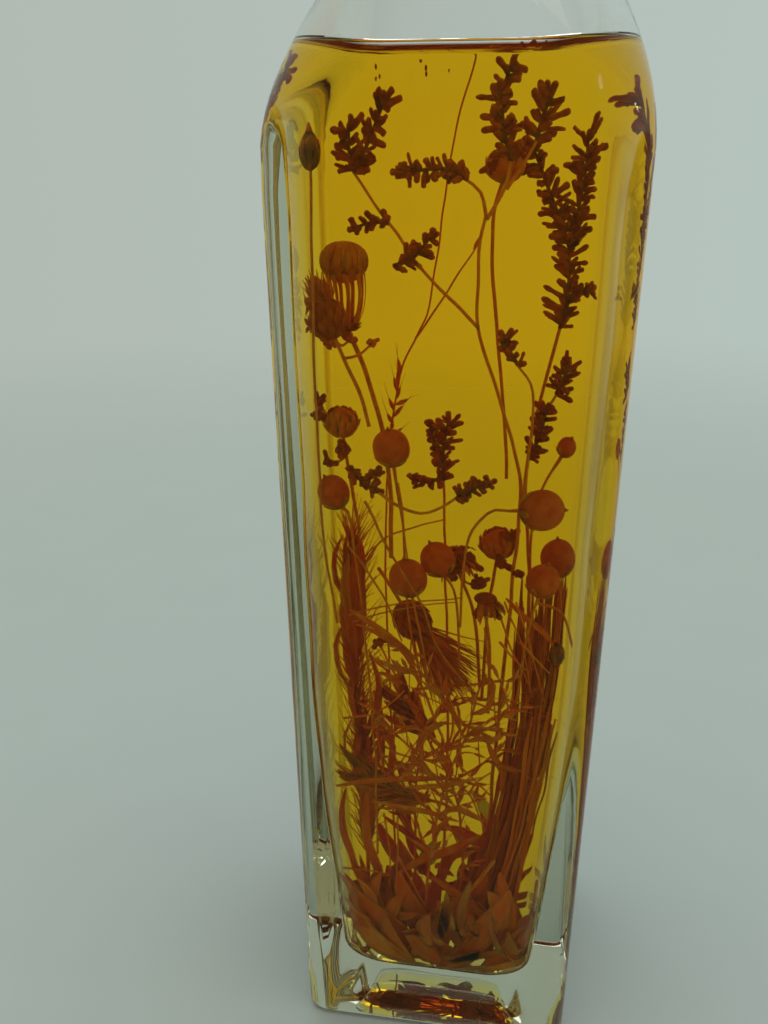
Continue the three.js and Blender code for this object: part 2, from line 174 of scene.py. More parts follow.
def tube(shape, points, radius, sides=6, slot=0):
    """A rod along the points. Its radius is a number, or a function of the share of the way along."""
    rings = []
    for i, (point, (_, normal, binormal)) in enumerate(zip(points, frames(points))):
        r = radius(i / (len(points) - 1)) if callable(radius) else radius
        rings.append(ring_round(point, r, normal, binormal, sides))
    shape.loft(rings, slot)


def solid(shape, base, tip, profile, width, sides=6, slot=0):
    """A round body from base to tip. Its profile is a list of (share along, radius at full width 2)."""
    axis = (tip - base).normalized()
    normal = axis.orthogonal().normalized()
    other = axis.cross(normal)
    half = 0.5 * width
    rings = [ring_round(base.lerp(tip, share), half * r, normal, other, sides) for share, r in profile]
    shape.loft(rings, slot)


def leaf_width(share):
    return max(0.06, math.sin(math.pi * min(1, share * 0.93 + 0.05)) ** 0.7)


def straw_width(share):
    return 1 - 0.75 * (share - 0.85) / 0.15 if share > 0.85 else 0.85 + 0.15 * math.sin(9 * share)


def blade(shape, points, width, facing, cup=0.25, thick=0.12, outline=leaf_width, slot=0):
    """A thin petal, bract or leaf along the points. `facing` is the way its hollow side looks."""
    rings = []
    for i, (point, (tangent, _, _)) in enumerate(zip(points, frames(points))):
        half = 0.5 * width * outline(i / (len(points) - 1))
        across = tangent.cross(facing).normalized()
        normal = across.cross(tangent)
        front = [point + across * half * u + normal * cup * half * u * u for u in (-1, -0.5, 0, 0.5, 1)]
        back = [point + across * half * u + normal * (cup * half * u * u - thick) for u in (0.55, 0, -0.55)]
        rings.append(front + back)
    shape.loft(rings, slot)


def random_way(rng):
    return Vector((rng.gauss(0, 1), rng.gauss(0, 1), rng.gauss(0, 1))).normalized()


def tilted(way, axis, degrees):
    """A unit vector at the given angle from `axis`, leaning towards `way`."""
    side = (way - axis * way.dot(axis)).normalized()
    return math.cos(math.radians(degrees)) * axis + math.sin(math.radians(degrees)) * side


# ---------- the glass and the oil ----------

RING_POINTS = 128


def ring_angles():
    """Angles round the axis, closest together at the corners."""
    angles = []
    for quarter in range(4):
        for i in range(RING_POINTS // 4):
            t = 2 * (i + 0.5) / (RING_POINTS // 4) - 1
            angles.append(math.radians(90 * quarter + 45 + 45 * (0.35 * t + 0.65 * t**3)))
    return np.array(angles)


ANGLES = ring_angles()


def ring_reach(half, corner, angles=ANGLES):
    """How far a square with round corners reaches from its middle, at each angle."""
    flat = half - min(corner, half)
    cosines, sines = np.abs(np.cos(angles)), np.abs(np.sin(angles))
    big, small = np.maximum(cosines, sines), np.minimum(cosines, sines)
    on_side = half / big
    along = flat * (big + small)
    on_corner = along + np.sqrt(np.maximum(along**2 - 2 * flat**2 + (half - flat) ** 2, 0))
    return np.where(on_side * small <= flat, on_side, on_corner)


def skin(shape, sections, ripple):
    """A closed skin through (z, half, corner) sections, rippled like blown glass."""
    rings = []
    for z, half, corner in sections:
        reach = ring_reach(half, corner)
        ring = []
        for angle, r in zip(ANGLES, reach):
            way = compass(angle)
            point = way * float(r) + UP * z
            ring.append(point + way * ripple(point))
        rings.append(ring)
    shape.loft(rings)


def outer_half(z):
    return BASE_HALF + (BODY_HALF - BASE_HALF) * z / SHOULDER_Z


def inner_half(z):
    heel = max(0, 1 - z / HEEL_Z) ** 1.5
    return outer_half(z) - WALL - HEEL_WALL * heel


def eased(value, low, high):
    t = min(1, max(0, (value - low) / (high - low)))
    return t * t * (3 - 2 * t)


def shoulder(start, end, corner, convex, concave, steps=16):
    """(z, half, corner) sections up an S from a square of half width `start` to a round of radius `end`."""
    turn = math.acos(1 - (start - end) / (convex + concave))
    top = SHOULDER_Z + (convex + concave) * math.sin(turn)
    angles = [turn * i / steps for i in range(steps + 1)]
    rise = [(SHOULDER_Z + convex * math.sin(a), start - convex * (1 - math.cos(a))) for a in angles]
    sweep = [(top - concave * math.sin(turn * i / 8), end + concave * (1 - math.cos(turn * i / 8)))
             for i in range(7, -1, -1)]
    sections = []
    for z, half in rise + sweep:
        share = eased(z, SHOULDER_Z - 4, top - 14)
        sections.append((z, half, corner + (half - corner) * share))
    return sections


def rounds(*pairs):
    return [(z, r, r) for z, r in pairs]


def cavity_sections(grow=0.0):
    """The cavity from the middle of its floor up to the bore."""
    floor = [(FLOOR_Z - grow, half, INNER_CORNER) for half in (1, 6, 11)]
    for i in range(9):
        angle = math.radians(11 + 79 * i / 8)
        z = FLOOR_Z - grow + FLOOR_ROUND * (1 - math.cos(angle))
        floor.append((z, inner_half(z) + grow - FLOOR_ROUND * (1 - math.sin(angle)), INNER_CORNER))
    sides = [(z, inner_half(z) + grow, INNER_CORNER) for z in range(24, SHOULDER_Z - 2, 6)]
    start = inner_half(SHOULDER_Z) + grow
    top = shoulder(start, BORE_R + grow, INNER_CORNER, SHOULDER_R - WALL, NECK_SWEEP_R + WALL)
    return floor + sides + top


def glass_ripple(point):
    """Faint waves of the outer surface and stronger ones inside, where the glass set against air."""
    reach = max(abs(point.x), abs(point.y))
    inside = reach < outer_half(min(point.z, SHOULDER_Z)) - 1.5 and point.z > 6
    fade = 1 - eased(point.z, 185, 215)
    if inside:
        return 0.3 * fade * noise.noise(Vector((point.x * 0.05, point.y * 0.05, point.z * 0.045)))
    return 0.05 * fade * noise.noise(Vector((point.x * 0.03 + 9, point.y * 0.03, point.z * 0.02)))


def make_bottle():
    foot = [(PUNT_DEPTH, half, CORNER) for half in (1, 8, 14)]
    foot += [(PUNT_DEPTH * 0.9, 16, CORNER), (PUNT_DEPTH * 0.3, 19, CORNER)]
    foot += [(0, 20.4, CORNER), (0, 24, CORNER)]
    for i in range(7):
        angle = math.radians(90 * i / 6)
        z = FOOT_ROUND * (1 - math.cos(angle))
        foot.append((z, outer_half(z) - FOOT_ROUND * (1 - math.sin(angle)), CORNER))
    sides = [(z, outer_half(z), CORNER) for z in range(8, SHOULDER_Z - 2, 8)]
    top = shoulder(BODY_HALF, NECK_R, CORNER, SHOULDER_R, NECK_SWEEP_R)
    finish = rounds(
        (250, NECK_R - 0.2), (262, NECK_R - 0.3), (265.5, NECK_R - 0.1), (LIP_Z - 1, NECK_R + 0.4),
        (LIP_Z - 0.3, LIP_R - 1.2), (LIP_Z + 0.4, LIP_R - 0.3), (LIP_Z + 1.6, LIP_R),
        (LIP_Z + 6, LIP_R + 0.1),
        (TOP_Z - 2.4, LIP_R), (TOP_Z - 1.2, LIP_R - 0.35), (TOP_Z - 0.4, LIP_R - 1), (TOP_Z, LIP_R - 2),
        (TOP_Z, RIM_INNER_R + 1), (TOP_Z - 0.2, RIM_INNER_R + 0.2), (TOP_Z - 0.8, RIM_INNER_R - 0.6),
        (TOP_Z - 2.4, BORE_R + 0.3), (TOP_Z - 8, BORE_R), (262, BORE_R), (250, BORE_R),
    )
    inside = cavity_sections()[::-1]
    outside = foot + sides + top + finish
    shape = Shape()
    skin(shape, outside + inside, glass_ripple)
    bottle = shape.make("glass_bottle_fine", [glass_material()], node="glass_bottle")
    wet = bottle.data.attributes.new("wet", "FLOAT", "POINT")
    first_inside = len(outside) * RING_POINTS
    top_wet = OIL_Z + 0.5 * MENISCUS_HIGH
    wet.data.foreach_set("value", [
        1.0 if i >= first_inside and p.z < top_wet else 0.0 for i, p in enumerate(shape.points)
    ])


def make_oil():
    below = [s for s in cavity_sections(OVERLAP) if s[0] < OIL_Z - 1]
    above = [s for s in cavity_sections(OVERLAP) if s[0] > OIL_Z]

    def wall_at(z):
        low, high = below[-1], above[1]
        share = (z - low[0]) / (high[0] - low[0])
        return low[1] + (high[1] - low[1]) * share, low[2] + (high[2] - low[2]) * share

    sections = list(below)
    for z in (OIL_Z, OIL_Z + MENISCUS_HIGH):
        sections.append((z, *wall_at(z)))
    half, corner = wall_at(OIL_Z)
    for distance in (0.25, 0.6, 1, 1.5, 2.2, 3.2, 4.5, 7, 11, 16, 22):
        z = OIL_Z + MENISCUS_HIGH * math.exp(-distance / MENISCUS_WIDE)
        if half - distance > 1:
            sections.append((z, half - distance, max(1, corner - distance)))
    sections.append((OIL_Z, 1, 1))
    shape = Shape()
    skin(shape, sections, glass_ripple)
    shape.make("oil_fine", [oil_material()], node="oil")


def held_inside(point):
    """The nearest place inside the cavity, for a plant's point that would poke through the glass."""
    z = min(OIL_Z - 0.8, max(FLOOR_Z + CLEAR_OF_GLASS, point.z))
    limit = inner_half(z) - CLEAR_OF_GLASS
    if z > SHOULDER_Z:
        drop = z - SHOULDER_Z
        limit -= (SHOULDER_R - WALL) - math.sqrt((SHOULDER_R - WALL) ** 2 - drop**2)
    if z < FLOOR_Z + FLOOR_ROUND:
        limit -= FLOOR_ROUND - math.sqrt(FLOOR_ROUND**2 - (FLOOR_Z + FLOOR_ROUND - z) ** 2 * 0.98)
    angle = np.array([math.atan2(point.y, point.x)])
    reach = float(ring_reach(limit, INNER_CORNER, angle)[0])
    out = math.hypot(point.x, point.y)
    share = 1 if out <= reach else reach / out
    return Vector((point.x * share, point.y * share, z))


# ---------- materials ----------


def feed(tree, node, inputs):
    """Sets each input to a value, or links it if it is given another node's output."""
    for name, value in inputs.items():
        if isinstance(value, bpy.types.NodeSocket):
            tree.links.new(value, node.inputs[name])
        else:
            node.inputs[name].default_value = value


def add(tree, kind, inputs, **settings):
    """A new node of a tree, with its settings and inputs."""
    node = tree.nodes.new("ShaderNode" + kind)
    for name, value in settings.items():
        setattr(node, name, value)
    feed(tree, node, inputs)
    return node


def new_material(name):
    material = bpy.data.materials.new(name)
    material.use_nodes = True
    tree = material.node_tree
    return material, tree, tree.nodes["Principled BSDF"]


def object_noise(tree, scale, detail=4.0, stretch=(1, 1, 1)):
    """A noise in the object's own metres."""
    place = add(tree, "TexCoord", {})
    mapping = add(tree, "Mapping", {"Vector": place.outputs["Object"], "Scale": stretch})
    texture = add(tree, "TexNoise", {"Vector": mapping.outputs["Vector"], "Scale": scale, "Detail": detail})
    return texture.outputs["Fac"]


def ramp(tree, value, stops):
    """Colours spread over a value."""
    node = add(tree, "ValToRGB", {"Fac": value})
    while len(node.color_ramp.elements) < len(stops):
        node.color_ramp.elements.new(0.5)
    for element, (position, colour) in zip(node.color_ramp.elements, stops):
        element.position = position
        element.color = (*colour, 1)
    return node.outputs["Color"]


def multiplied(tree, a, b):
    mix = add(tree, "Mix", {"Factor": 1, "A": a, "B": b}, data_type="RGBA", blend_type="MULTIPLY")
    return mix.outputs["Result"]


def bumped(tree, value, shader, strength, distance):
    node = add(tree, "Bump", {"Height": value, "Strength": strength, "Distance": distance})
    feed(tree, shader, {"Normal": node.outputs["Normal"]})


def absorbing(tree, colour, density):
    volume = add(tree, "VolumeAbsorption", {"Color": (*colour, 1), "Density": density})
    feed(tree, tree.nodes["Material Output"], {"Volume": volume.outputs["Volume"]})


def clear_material(name, ior):
    material, tree, shader = new_material(name)
    feed(tree, shader, {"Base Color": (1, 1, 1, 1), "Transmission Weight": 1, "IOR": ior, "Roughness": 0})
    return material, tree, shader


def glass_material():
    """Clear glass, grey-green in its depth. The face that the oil wets hardly mirrors; on the other faces
    the specular tint carries painted shade that dims and warms the reflections.
    """
    material, tree, shader = clear_material("glass", 1.52)
    wet = add(tree, "Attribute", {}, attribute_name="wet").outputs["Fac"]
    # Painted shade: away from the oil the specular tint cuts the glass's reflections to well under half and
    # warms them.
    feed(tree, shader, {"Specular Tint": ramp(tree, wet, [(0, (0.4, 0.34, 0.16)), (1, (0, 0, 0))])})
    bumped(tree, object_noise(tree, 45, detail=2, stretch=(1, 1, 0.4)), shader, 0.12, 0.0015)
    absorbing(tree, (0.64, 0.66, 0.5), 24)
    return material


def oil_material():
    """Amber oil. It takes all the blue and some of the green out of the light."""
    material, tree, shader = clear_material("oil", 1.465)
    feed(tree, shader, {"Specular Tint": (0, 0, 0, 1)})
    absorbing(tree, (1, 0.876, 0), 90)
    return material


def plant_material(name, dark, light, rough=0.6, fibre=(1, 1, 1), depth=0.0012):
    """Dried plant stuff soaked in oil: mottled along its fibres, and lit through where it is thin."""
    material, tree, shader = new_material(name)
    mottle = object_noise(tree, 420, stretch=fibre)
    fine = object_noise(tree, 2100, detail=3, stretch=fibre)
    middle = tuple(0.5 * (a + b) for a, b in zip(dark, light))
    uneven = add(tree, "MapRange", {"Value": fine, "To Min": rough - 0.15, "To Max": rough + 0.2})
    feed(tree, shader, {
        "Base Color": ramp(tree, mottle, [(0.3, dark), (0.52, middle), (0.72, light)]),
        "Roughness": uneven.outputs["Result"], "IOR": 1.2, "Subsurface Weight": 1,
        "Subsurface Radius": (1, 0.7, 0.4), "Subsurface Scale": depth,
    })
    bumped(tree, fine, shader, 0.5, 0.0002)
    return material


def cork_material():
    """Natural cork: warm tan with darker pores and short brown streaks."""
    material, tree, shader = new_material("cork")
    mottle = object_noise(tree, 260, detail=8)
    streaks = object_noise(tree, 420, detail=3, stretch=(1, 1, 3.5))
    tans = [(0.35, (0.34, 0.2, 0.1)), (0.5, (0.52, 0.34, 0.18)), (0.7, (0.66, 0.46, 0.27))]
    base = ramp(tree, mottle, tans)
    pores = ramp(tree, streaks, [(0.34, (0.1, 0.05, 0.025)), (0.41, (1, 1, 1))])
    feed(tree, shader, {"Base Color": multiplied(tree, base, pores), "Roughness": 0.85})
    bumped(tree, streaks, shader, 0.6, 0.0006)
    return material


# ---------- the plants' parts ----------

FINGER = (0.3, 0.42, 0.5, 0.46, 0.5, 0.38, 0.16)
TUFT_STEP = 0.85  # how far apart the tufts of florets stand along a twig
PETALS_IN_HEAP = 14
GRAIN = [(0, 0.15), (0.15, 0.65), (0.45, 1), (0.8, 0.55), (1, 0.05)]


def thinning(thick, thin):
    return lambda share: thick + (thin - thick) * share


def finger(shape, at, way, length, width, rng, slot=0):
    """A blunt floret, a little bent and lumpy."""
    bend = 0.3 * length * random_way(rng)
    points = [at + way * length * s + bend * s * s for s in (0, 0.15, 0.4, 0.65, 0.85, 0.96, 1)]
    sizes = [width * size * rng.uniform(0.85, 1.15) for size in FINGER]
    tube(shape, points, lambda share: sizes[round(share * 6)], sides=7, slot=slot)


def tuft(shape, at, size, count, rng):
    """A small clump of dark florets that point every way."""
    for _ in range(count):
        way = tilted(random_way(rng), UP, rng.uniform(15, 130))
        foot = at - way * size * 0.35 + random_way(rng) * size * 0.12
        finger(shape, foot, way, size * rng.uniform(0.6, 1.1), rng.uniform(0.8, 1.5), rng, slot=2)


def twig_to(shape, plant, at):
    """A thin twig to a tuft from the nearest place on the plant."""
    knots = [knot for _, via in plant["stems"] for knot in route(via)]
    root = min(knots, key=lambda knot: (knot - at).length)
    line = route([root, 0.5 * (root + at) - UP * 0.8, at], stray=0.3)
    tube(shape, line, thinning(0.32, 0.22), sides=5, slot=1)


def comb(shape, via, spread, rng):
    """A twig of florets, which stand along both its sides in tufts."""
    line = route(via, spacing=0.4)
    tube(shape, route(via, spacing=1.5, stray=0.2), thinning(0.45, 0.3), sides=5)
    face = FRONT if abs((line[-1] - line[0]).normalized().dot(FRONT)) < 0.8 else UP
    count = max(4, round(len(line) * 0.4 / TUFT_STEP))
    for i in range(count):
        place = int((i + rng.uniform(0.1, 0.9)) / count * (len(line) - 1))
        at = line[place]
        tangent = (line[min(place + 1, len(line) - 1)] - line[max(place - 1, 0)]).normalized()
        across = tangent.cross(face).normalized()
        if i % 2:
            across = -across
        for _ in range(rng.choice((2, 2, 3, 4))):
            way = tilted((across + 0.6 * random_way(rng)).normalized(), tangent, rng.uniform(25, 85))
            finger(shape, at, way, spread * rng.uniform(0.6, 1.5), rng.uniform(0.7, 1.35), rng)
    way = (line[-1] - line[-3]).normalized()
    finger(shape, line[-1] - way * 0.5, way, 2.2, 1.3, rng)


def bracts(shape, centre, axis, radii, span, count, reach, width, lift, rng, slot=0):
    """Pointed bracts in a spiral up an egg, each lying along it and lifting off at its tip."""
    radius, height = radii
    side = axis.orthogonal().normalized()
    other = axis.cross(side)
    for i in range(count):
        low = span[0] + (span[1] - span[0]) * i / count
        turn = i * GOLDEN + rng.uniform(-0.15, 0.15)
        away = math.cos(turn) * side + math.sin(turn) * other
        points = []
        for step in range(5):
            share = low + reach * step / 4
            rise = math.pi * min(share, 0.98)
            off = 0.1 + lift * (step / 4) ** 2
            points.append(centre - axis * height * math.cos(rise) + away * (radius * math.sin(rise) + off))
        facing = (away - axis * 0.1).normalized()
        blade(shape, points, width * rng.uniform(0.8, 1.15), facing, cup=-0.3, thick=0.14, slot=slot)


def egg(shape, centre, axis, radii, ribs=0, depth=0.0, sides=20, steps=12, slot=0):
    """An egg with ribs down it, drawn to a small point at its tip."""
    radius, height = radii
    side = axis.orthogonal().normalized()
    other = axis.cross(side)
    rings = []
    for k in range(steps + 1):
        rise = math.pi * (0.03 + 0.94 * k / steps)
        ring = []
        for i in range(sides):
            turn = 2 * math.pi * i / sides
            r = radius * math.sin(rise) * (1 - depth * (0.5 + 0.5 * math.cos(ribs * turn)))
            away = math.cos(turn) * side + math.sin(turn) * other
            ring.append(centre - axis * height * math.cos(rise) + away * r)
        rings.append(ring)
    shape.loft(rings, slot)


def hair(shape, base, way, length, droop, rng, thick=0.09, slot=0):
    """A fine hair or awn that bends a little."""
    bend = droop * random_way(rng)
    points = [base + way * length * s + bend * length * s * s for s in (0, 0.33, 0.67, 1)]
    tube(shape, points, thinning(thick, thick * 0.35), sides=4, slot=slot)


def spikelet(shape, at, way, rng, length=3.2, awn=4.0, slot=0):
    """A grass seed in its husk, with an awn."""
    tip = at + way * length * rng.uniform(0.8, 1.2)
    solid(shape, at, tip, GRAIN, rng.uniform(0.75, 1.1), sides=5, slot=slot)
    if awn:
        hair(shape, tip - way * 0.4, way, awn * rng.uniform(0.6, 1.4), 0.15, rng, 0.08, slot)


def head_axis(stem):
    """Which way a head looks: on from the end of its stem."""
    return (Vector(stem[-1]) - Vector(stem[-2])).normalized()


# ---------- one recipe for each kind of plant ----------

COMB_R = 1.0  # CAD rods from this radius up stand for florets, grains or straws round a line


def make_statice(shape, plant, rng):
    for n, (r, via) in enumerate(plant["stems"]):
        if r >= COMB_R:
            comb(shape, via, r * 1.35, rng)
        else:
            tube(shape, route(via, stray=0.35, seed=n), thinning(r * 0.75, r * 0.55), slot=1)


def make_boll(shape, plant, rng):
    (at, radii), (r, via) = plant["eggs"][0], plant["stems"][0]
    at, radius = Vector(at), radii[0]
    axis = head_axis([*via, at])
    foot = at - axis * radius * 0.98
    line = route([*via, foot], stray=0.3, seed=radius)
    tube(shape, line, lambda s: r * (0.6 + 0.7 * max(0, s - 0.9) * 10 * 0.5), slot=1)
    egg(shape, at, axis, (radius, radii[2]), ribs=10, depth=0.035, sides=40, steps=16)
    solid(shape, at + axis * radius * 0.9, at + axis * radius * 1.25, GRAIN, 0.9)
    bracts(shape, at, axis, (radius, radii[2]), (0.04, 0.12), 5, 0.3, radius * 0.55, 0.25, rng, slot=1)


def make_bud(shape, plant, rng):
    for n, (r, via) in enumerate(plant["stems"]):
        tube(shape, route(via, stray=0.3, seed=n), r * 0.75, slot=1)
    for at, radii in plant["eggs"]:
        at = Vector(at)
        egg(shape, at, UP, (radii[0], radii[2]), ribs=5, depth=0.12)
        point = at + UP * radii[2] * 0.6
        solid(shape, point, at + UP * radii[2] * 1.4, [(0, 0.9), (0.5, 0.5), (1, 0.1)], radii[0] * 1.5)
        bracts(shape, at, UP, (radii[0], radii[2]), (0.05, 0.35), 9, 0.5, radii[0] * 1.1, 0.1, rng)


def make_everlasting(shape, plant, rng):
    """A papery head: bracts in a close spiral round a domed middle."""
    (at, radii), (r, via) = plant["eggs"][0], plant["stems"][0]
    at = Vector(at)
    axis = (head_axis([*via, at]) + 0.35 * FRONT).normalized()
    tube(shape, route([*via, at - axis * radii[2] * 0.8], stray=0.3), r * 0.8, slot=1)
    egg(shape, at, axis, (radii[0] * 0.78, radii[2] * 0.8), ribs=16, depth=0.06, sides=32, slot=3)
    size = (radii[0] * 0.8, radii[2] * 0.82)
    bracts(shape, at, axis, size, (0.05, 0.55), 34, 0.42, radii[0] * 0.5, 0.7, rng)


def make_dome(shape, plant, rng):
    """A domed head over a cage of drawn-out petals that spring from a dark cup."""
    at, radii = plant["eggs"][0]
    at = Vector(at)
    (r, via), (_, body) = plant["stems"]
    cup = Vector(body[0])
    tube(shape, route(via, stray=0.3), r, slot=1)
    for _ in range(46):
        way = tilted(random_way(rng), UP, rng.uniform(35, 85))
        blade(shape, [cup, cup + way * 1.6, cup + way * 2.9 + UP * 0.7], 1.1, UP, slot=2)
    for i in range(9):
        away = compass(2 * math.pi * i / 9)
        points = [cup + UP * 0.6 + away * 1.6, cup + UP * 4 + away * 3.1, cup + UP * 8 + away * 3.6,
                  at + away * 4.1 - UP * 1.2]
        blade(shape, route(points), 1.5, away, cup=-0.3, outline=lambda s: 1 - 0.5 * math.sin(math.pi * s))
    egg(shape, at, UP, (radii[0], radii[2]), ribs=14, depth=0.06, sides=56, slot=3)
    bracts(shape, at, UP, (radii[0], radii[2]), (0.32, 0.6), 38, 0.36, radii[0] * 0.42, 0.3, rng)


def make_knapweed(shape, plant, rng):
    """A scaly dark cup with a brush of fine florets out of its mouth."""
    r, via = plant["stems"][0]
    at, radii = plant["eggs"][0]
    at = Vector(at)
    mouth = Vector(plant["eggs"][-1][0])
    axis = (mouth - at).normalized() if len(plant["eggs"]) > 1 else head_axis([*via, at])
    tube(shape, route([*via, at - axis * radii[2] * 0.8], stray=0.3), r * 0.8, slot=1)
    egg(shape, at, axis, (radii[0] * 0.9, radii[2] * 0.9), sides=20)
    size = (radii[0] * 0.92, radii[2] * 0.9)
    bracts(shape, at, axis, size, (0.05, 0.7), 44, 0.3, radii[0] * 0.5, 0.4, rng)
    length = (mouth - at).length + radii[2] * 1.1 if len(plant["eggs"]) > 1 else radii[2] * 1.2
    for _ in range(240):
        way = tilted(random_way(rng), axis, abs(rng.gauss(0, 20)))
        start = at + axis * radii[2] * 0.5 + random_way(rng) * radii[0] * 0.35
        hair(shape, start, way, length * rng.uniform(0.75, 1.1), 0.12, rng, thick=0.26, slot=2)


def make_daisy(shape, plant, rng):
    """A dark disc with withered petals that hang off it."""
    (at, radii), (r, via) = plant["eggs"][0], plant["stems"][0]
    at = Vector(at)
    hang = Vector(plant["hang"]).normalized()
    tube(shape, route([*via, at], stray=0.3), r * 0.8, slot=1)
    disc = at - hang * radii[2] * 0.35
    egg(shape, disc, -hang, (radii[0] * 0.55, radii[2] * 0.4), ribs=12, depth=0.1, sides=24, slot=2)
    for i in range(plant["petals"]):
        way = tilted(random_way(rng), hang, rng.uniform(25, 100))
        reach = radii[0] * rng.uniform(0.8, 1.2)
        tip = disc + way * reach + hang * 1.2
        points = [disc, disc + way * reach * 0.45 - hang * 0.4, disc + way * reach * 0.8, tip]
        blade(shape, route(points), rng.uniform(1.1, 1.9), -hang, slot=i % 3 // 2 * 2)


def make_grass(shape, plant, rng):
    """Stalks with seeds along their thick stretches and at their tips."""
    for n, (r, via) in enumerate(plant["stems"]):
        line = route(via, stray=0.35, seed=n)
        if r < COMB_R:
            tube(shape, line, thinning(r * 0.7, r * 0.45))
        tips = line if r >= COMB_R else line[-1:]
        for point in tips:
            spikelet(shape, point, tilted(random_way(rng), head_axis(via), rng.uniform(10, 50)), rng)


def make_panicle(shape, plant, rng):
    """A loose head of grass: every branch carries short stalks with seeds."""
    for n, (r, via) in enumerate(plant["stems"]):
        line = route(via, spacing=1.2, stray=0.5, seed=n)
        tube(shape, line, thinning(r * 0.9, r * 0.5), sides=5)
        for i in range(len(line) // 3 if n == 0 else 1, len(line), 2):
            way = tilted(random_way(rng), head_axis([line[i - 1], line[i]]), rng.uniform(20, 65))
            reach = rng.uniform(3, 11)
            middle = line[i] + way * reach * 0.5 + UP * 0.6
            stalk = route([line[i], middle, line[i] + way * reach], spacing=1, stray=0.3)
            tube(shape, stalk, thinning(0.24, 0.14), sides=4)
            if i % 3 == 0:
                curl = line[i] + way * reach * 0.6 + random_way(rng) * 2
                leaf = route([line[i], curl, curl + tilted(random_way(rng), way, 50) * reach * 0.7])
                blade(shape, leaf, rng.uniform(0.9, 2), FRONT, cup=0.6, slot=i % 2)
            for k in range(rng.choice((1, 2, 3))):
                at = stalk[max(0, len(stalk) - 1 - 2 * k)]
                out = tilted(random_way(rng), way, rng.uniform(5, 45))
                spikelet(shape, at, out, rng, length=3.6, awn=rng.choice([0, 4, 9]), slot=i % 4 // 2)


def make_hare_tail(shape, plant, rng):
    """A plume of long limp husks and hairs, all combed upwards."""
    (r, stalk), (fat, body) = plant["stems"]
    tube(shape, route([*stalk, *body[1:]]), thinning(r, 0.3), slot=1)
    line = route(body, spacing=0.5)
    for i in range(28):
        foot = line[int(rng.uniform(0, 0.85) * len(line))]
        turn = rng.uniform(0, 2 * math.pi)
        away = Vector((0.85 * math.cos(turn) + 0.15, math.sin(turn), 0))
        length, lean = rng.uniform(12, 30), rng.uniform(0.5, 1.7) * fat
        points = [foot + away * 0.4, foot + away * lean * 0.8 + UP * length * 0.3,
                  foot + away * lean + UP * length * 0.7, foot + away * lean * 0.6 + UP * length]
        husk = route(points, spacing=3, stray=0.8, seed=i)
        blade(shape, husk, rng.uniform(1, 3.6), away, cup=0.5, slot=i % 2)
    for point in line:
        for _ in range(4):
            way = tilted(random_way(rng), UP, rng.uniform(6, 40))
            length = fat * rng.uniform(1.4, 3)
            hair(shape, point, way, length, 0.2, rng, thick=0.2, slot=rng.choice([0, 0, 1]))


def make_straws(shape, plant, rng):
    """Thin flattened straws that lie side by side and cross a little, narrowed at their ends."""
    r, via = plant["stems"][0]
    line = route(via, spacing=4)
    size = len(line) - 1
    for i in range(plant["count"]):
        turn = rng.uniform(0, 2 * math.pi)
        shift = compass(turn) * r * rng.uniform(0.2, 1.5)
        shift -= SIDEWAYS * rng.uniform(0, 5)
        skew = Vector((rng.uniform(-4.5, 4.5), rng.uniform(-2, 2), 0))
        points = [p + shift + skew * (k / size - 0.5) for k, p in enumerate(line)]
        points.append(points[-1] + (points[-1] - points[-2]) * rng.uniform(0.1, 2))
        facing = (FRONT + 0.5 * random_way(rng)).normalized()
        straw = route(points, spacing=2, stray=0.5, seed=i)
        width = rng.uniform(0.5, 1.5)
        blade(shape, straw, width, facing, cup=0.5, thick=0.3, outline=straw_width, slot=i % 3)


def make_ear(shape, plant, rng):
    """Long narrow bracts in two rows, with awns that run on past the tip."""
    if len(plant["stems"]) > 1:
        tube(shape, route(plant["stems"][0][1]), 0.4)
    line = route(plant["stems"][-1][1], spacing=1.2)
    for i, point in enumerate(line[:-1]):
        axis = (line[i + 1] - point).normalized()
        for side in (-1, 1):
            way = tilted(side * axis.cross(FRONT), axis, rng.uniform(8, 32))
            length = rng.uniform(7, 13)
            bend = point + way * length * 0.8 - UP * 0.6
            points = [point, point + way * length * 0.4, bend, point + way * length]
            blade(shape, route(points, spacing=2.5), rng.uniform(1.1, 2.4), FRONT, cup=0.5, slot=i % 3)
            hair(shape, point + way * 5, axis, rng.uniform(8, 16), 0.08, rng, thick=0.13, slot=1)


def make_leaves(shape, plant, rng):
    """Withered petals and leaves in a loose heap."""
    at, radii = plant["eggs"][0]
    at = Vector(at)
    for i in range(PETALS_IN_HEAP):
        start = at + Vector((rng.uniform(-1, 1) * radii[0], rng.uniform(-3, 3), 0))
        start.z += rng.uniform(-1.4, 0) * radii[2]
        way = tilted(random_way(rng), UP, rng.uniform(10, 85))
        bend = random_way(rng) * 2.4
        length = rng.uniform(9, 20)
        points = [start + way * length * share + bend * (0 < share < 1) for share in (0, 0.35, 0.7, 1)]
        facing = (FRONT + 0.7 * random_way(rng)).normalized()
        blade(shape, route(points), rng.uniform(1.6, 5), facing, cup=0.5, thick=0.12, slot=i % 3)


# ---------- the plants' places, in millimetres ----------

KINDS = {
    make_statice: "statice", make_boll: "boll", make_bud: "boll", make_dome: "flower",
    make_everlasting: "flower", make_daisy: "flower", make_knapweed: "knapweed", make_grass: "grass",
    make_panicle: "grass", make_hare_tail: "grass", make_straws: "straw", make_ear: "straw",
    make_leaves: "leaf",
}


def planted(recipe, *stems, **parts):
    """A plant's recipe, its stems, each (radius, points from its foot up), and its other parts by name."""
    return {"recipe": recipe, "stems": stems, **parts}


def boll(at, radius, via, **parts):
    return planted(make_boll, (0.45, via), eggs=[(at, (radius, radius, round(1.05 * radius, 2)))], **parts)


def petals(at, radii, **parts):
    return planted(make_leaves, eggs=[(at, radii)], **parts)


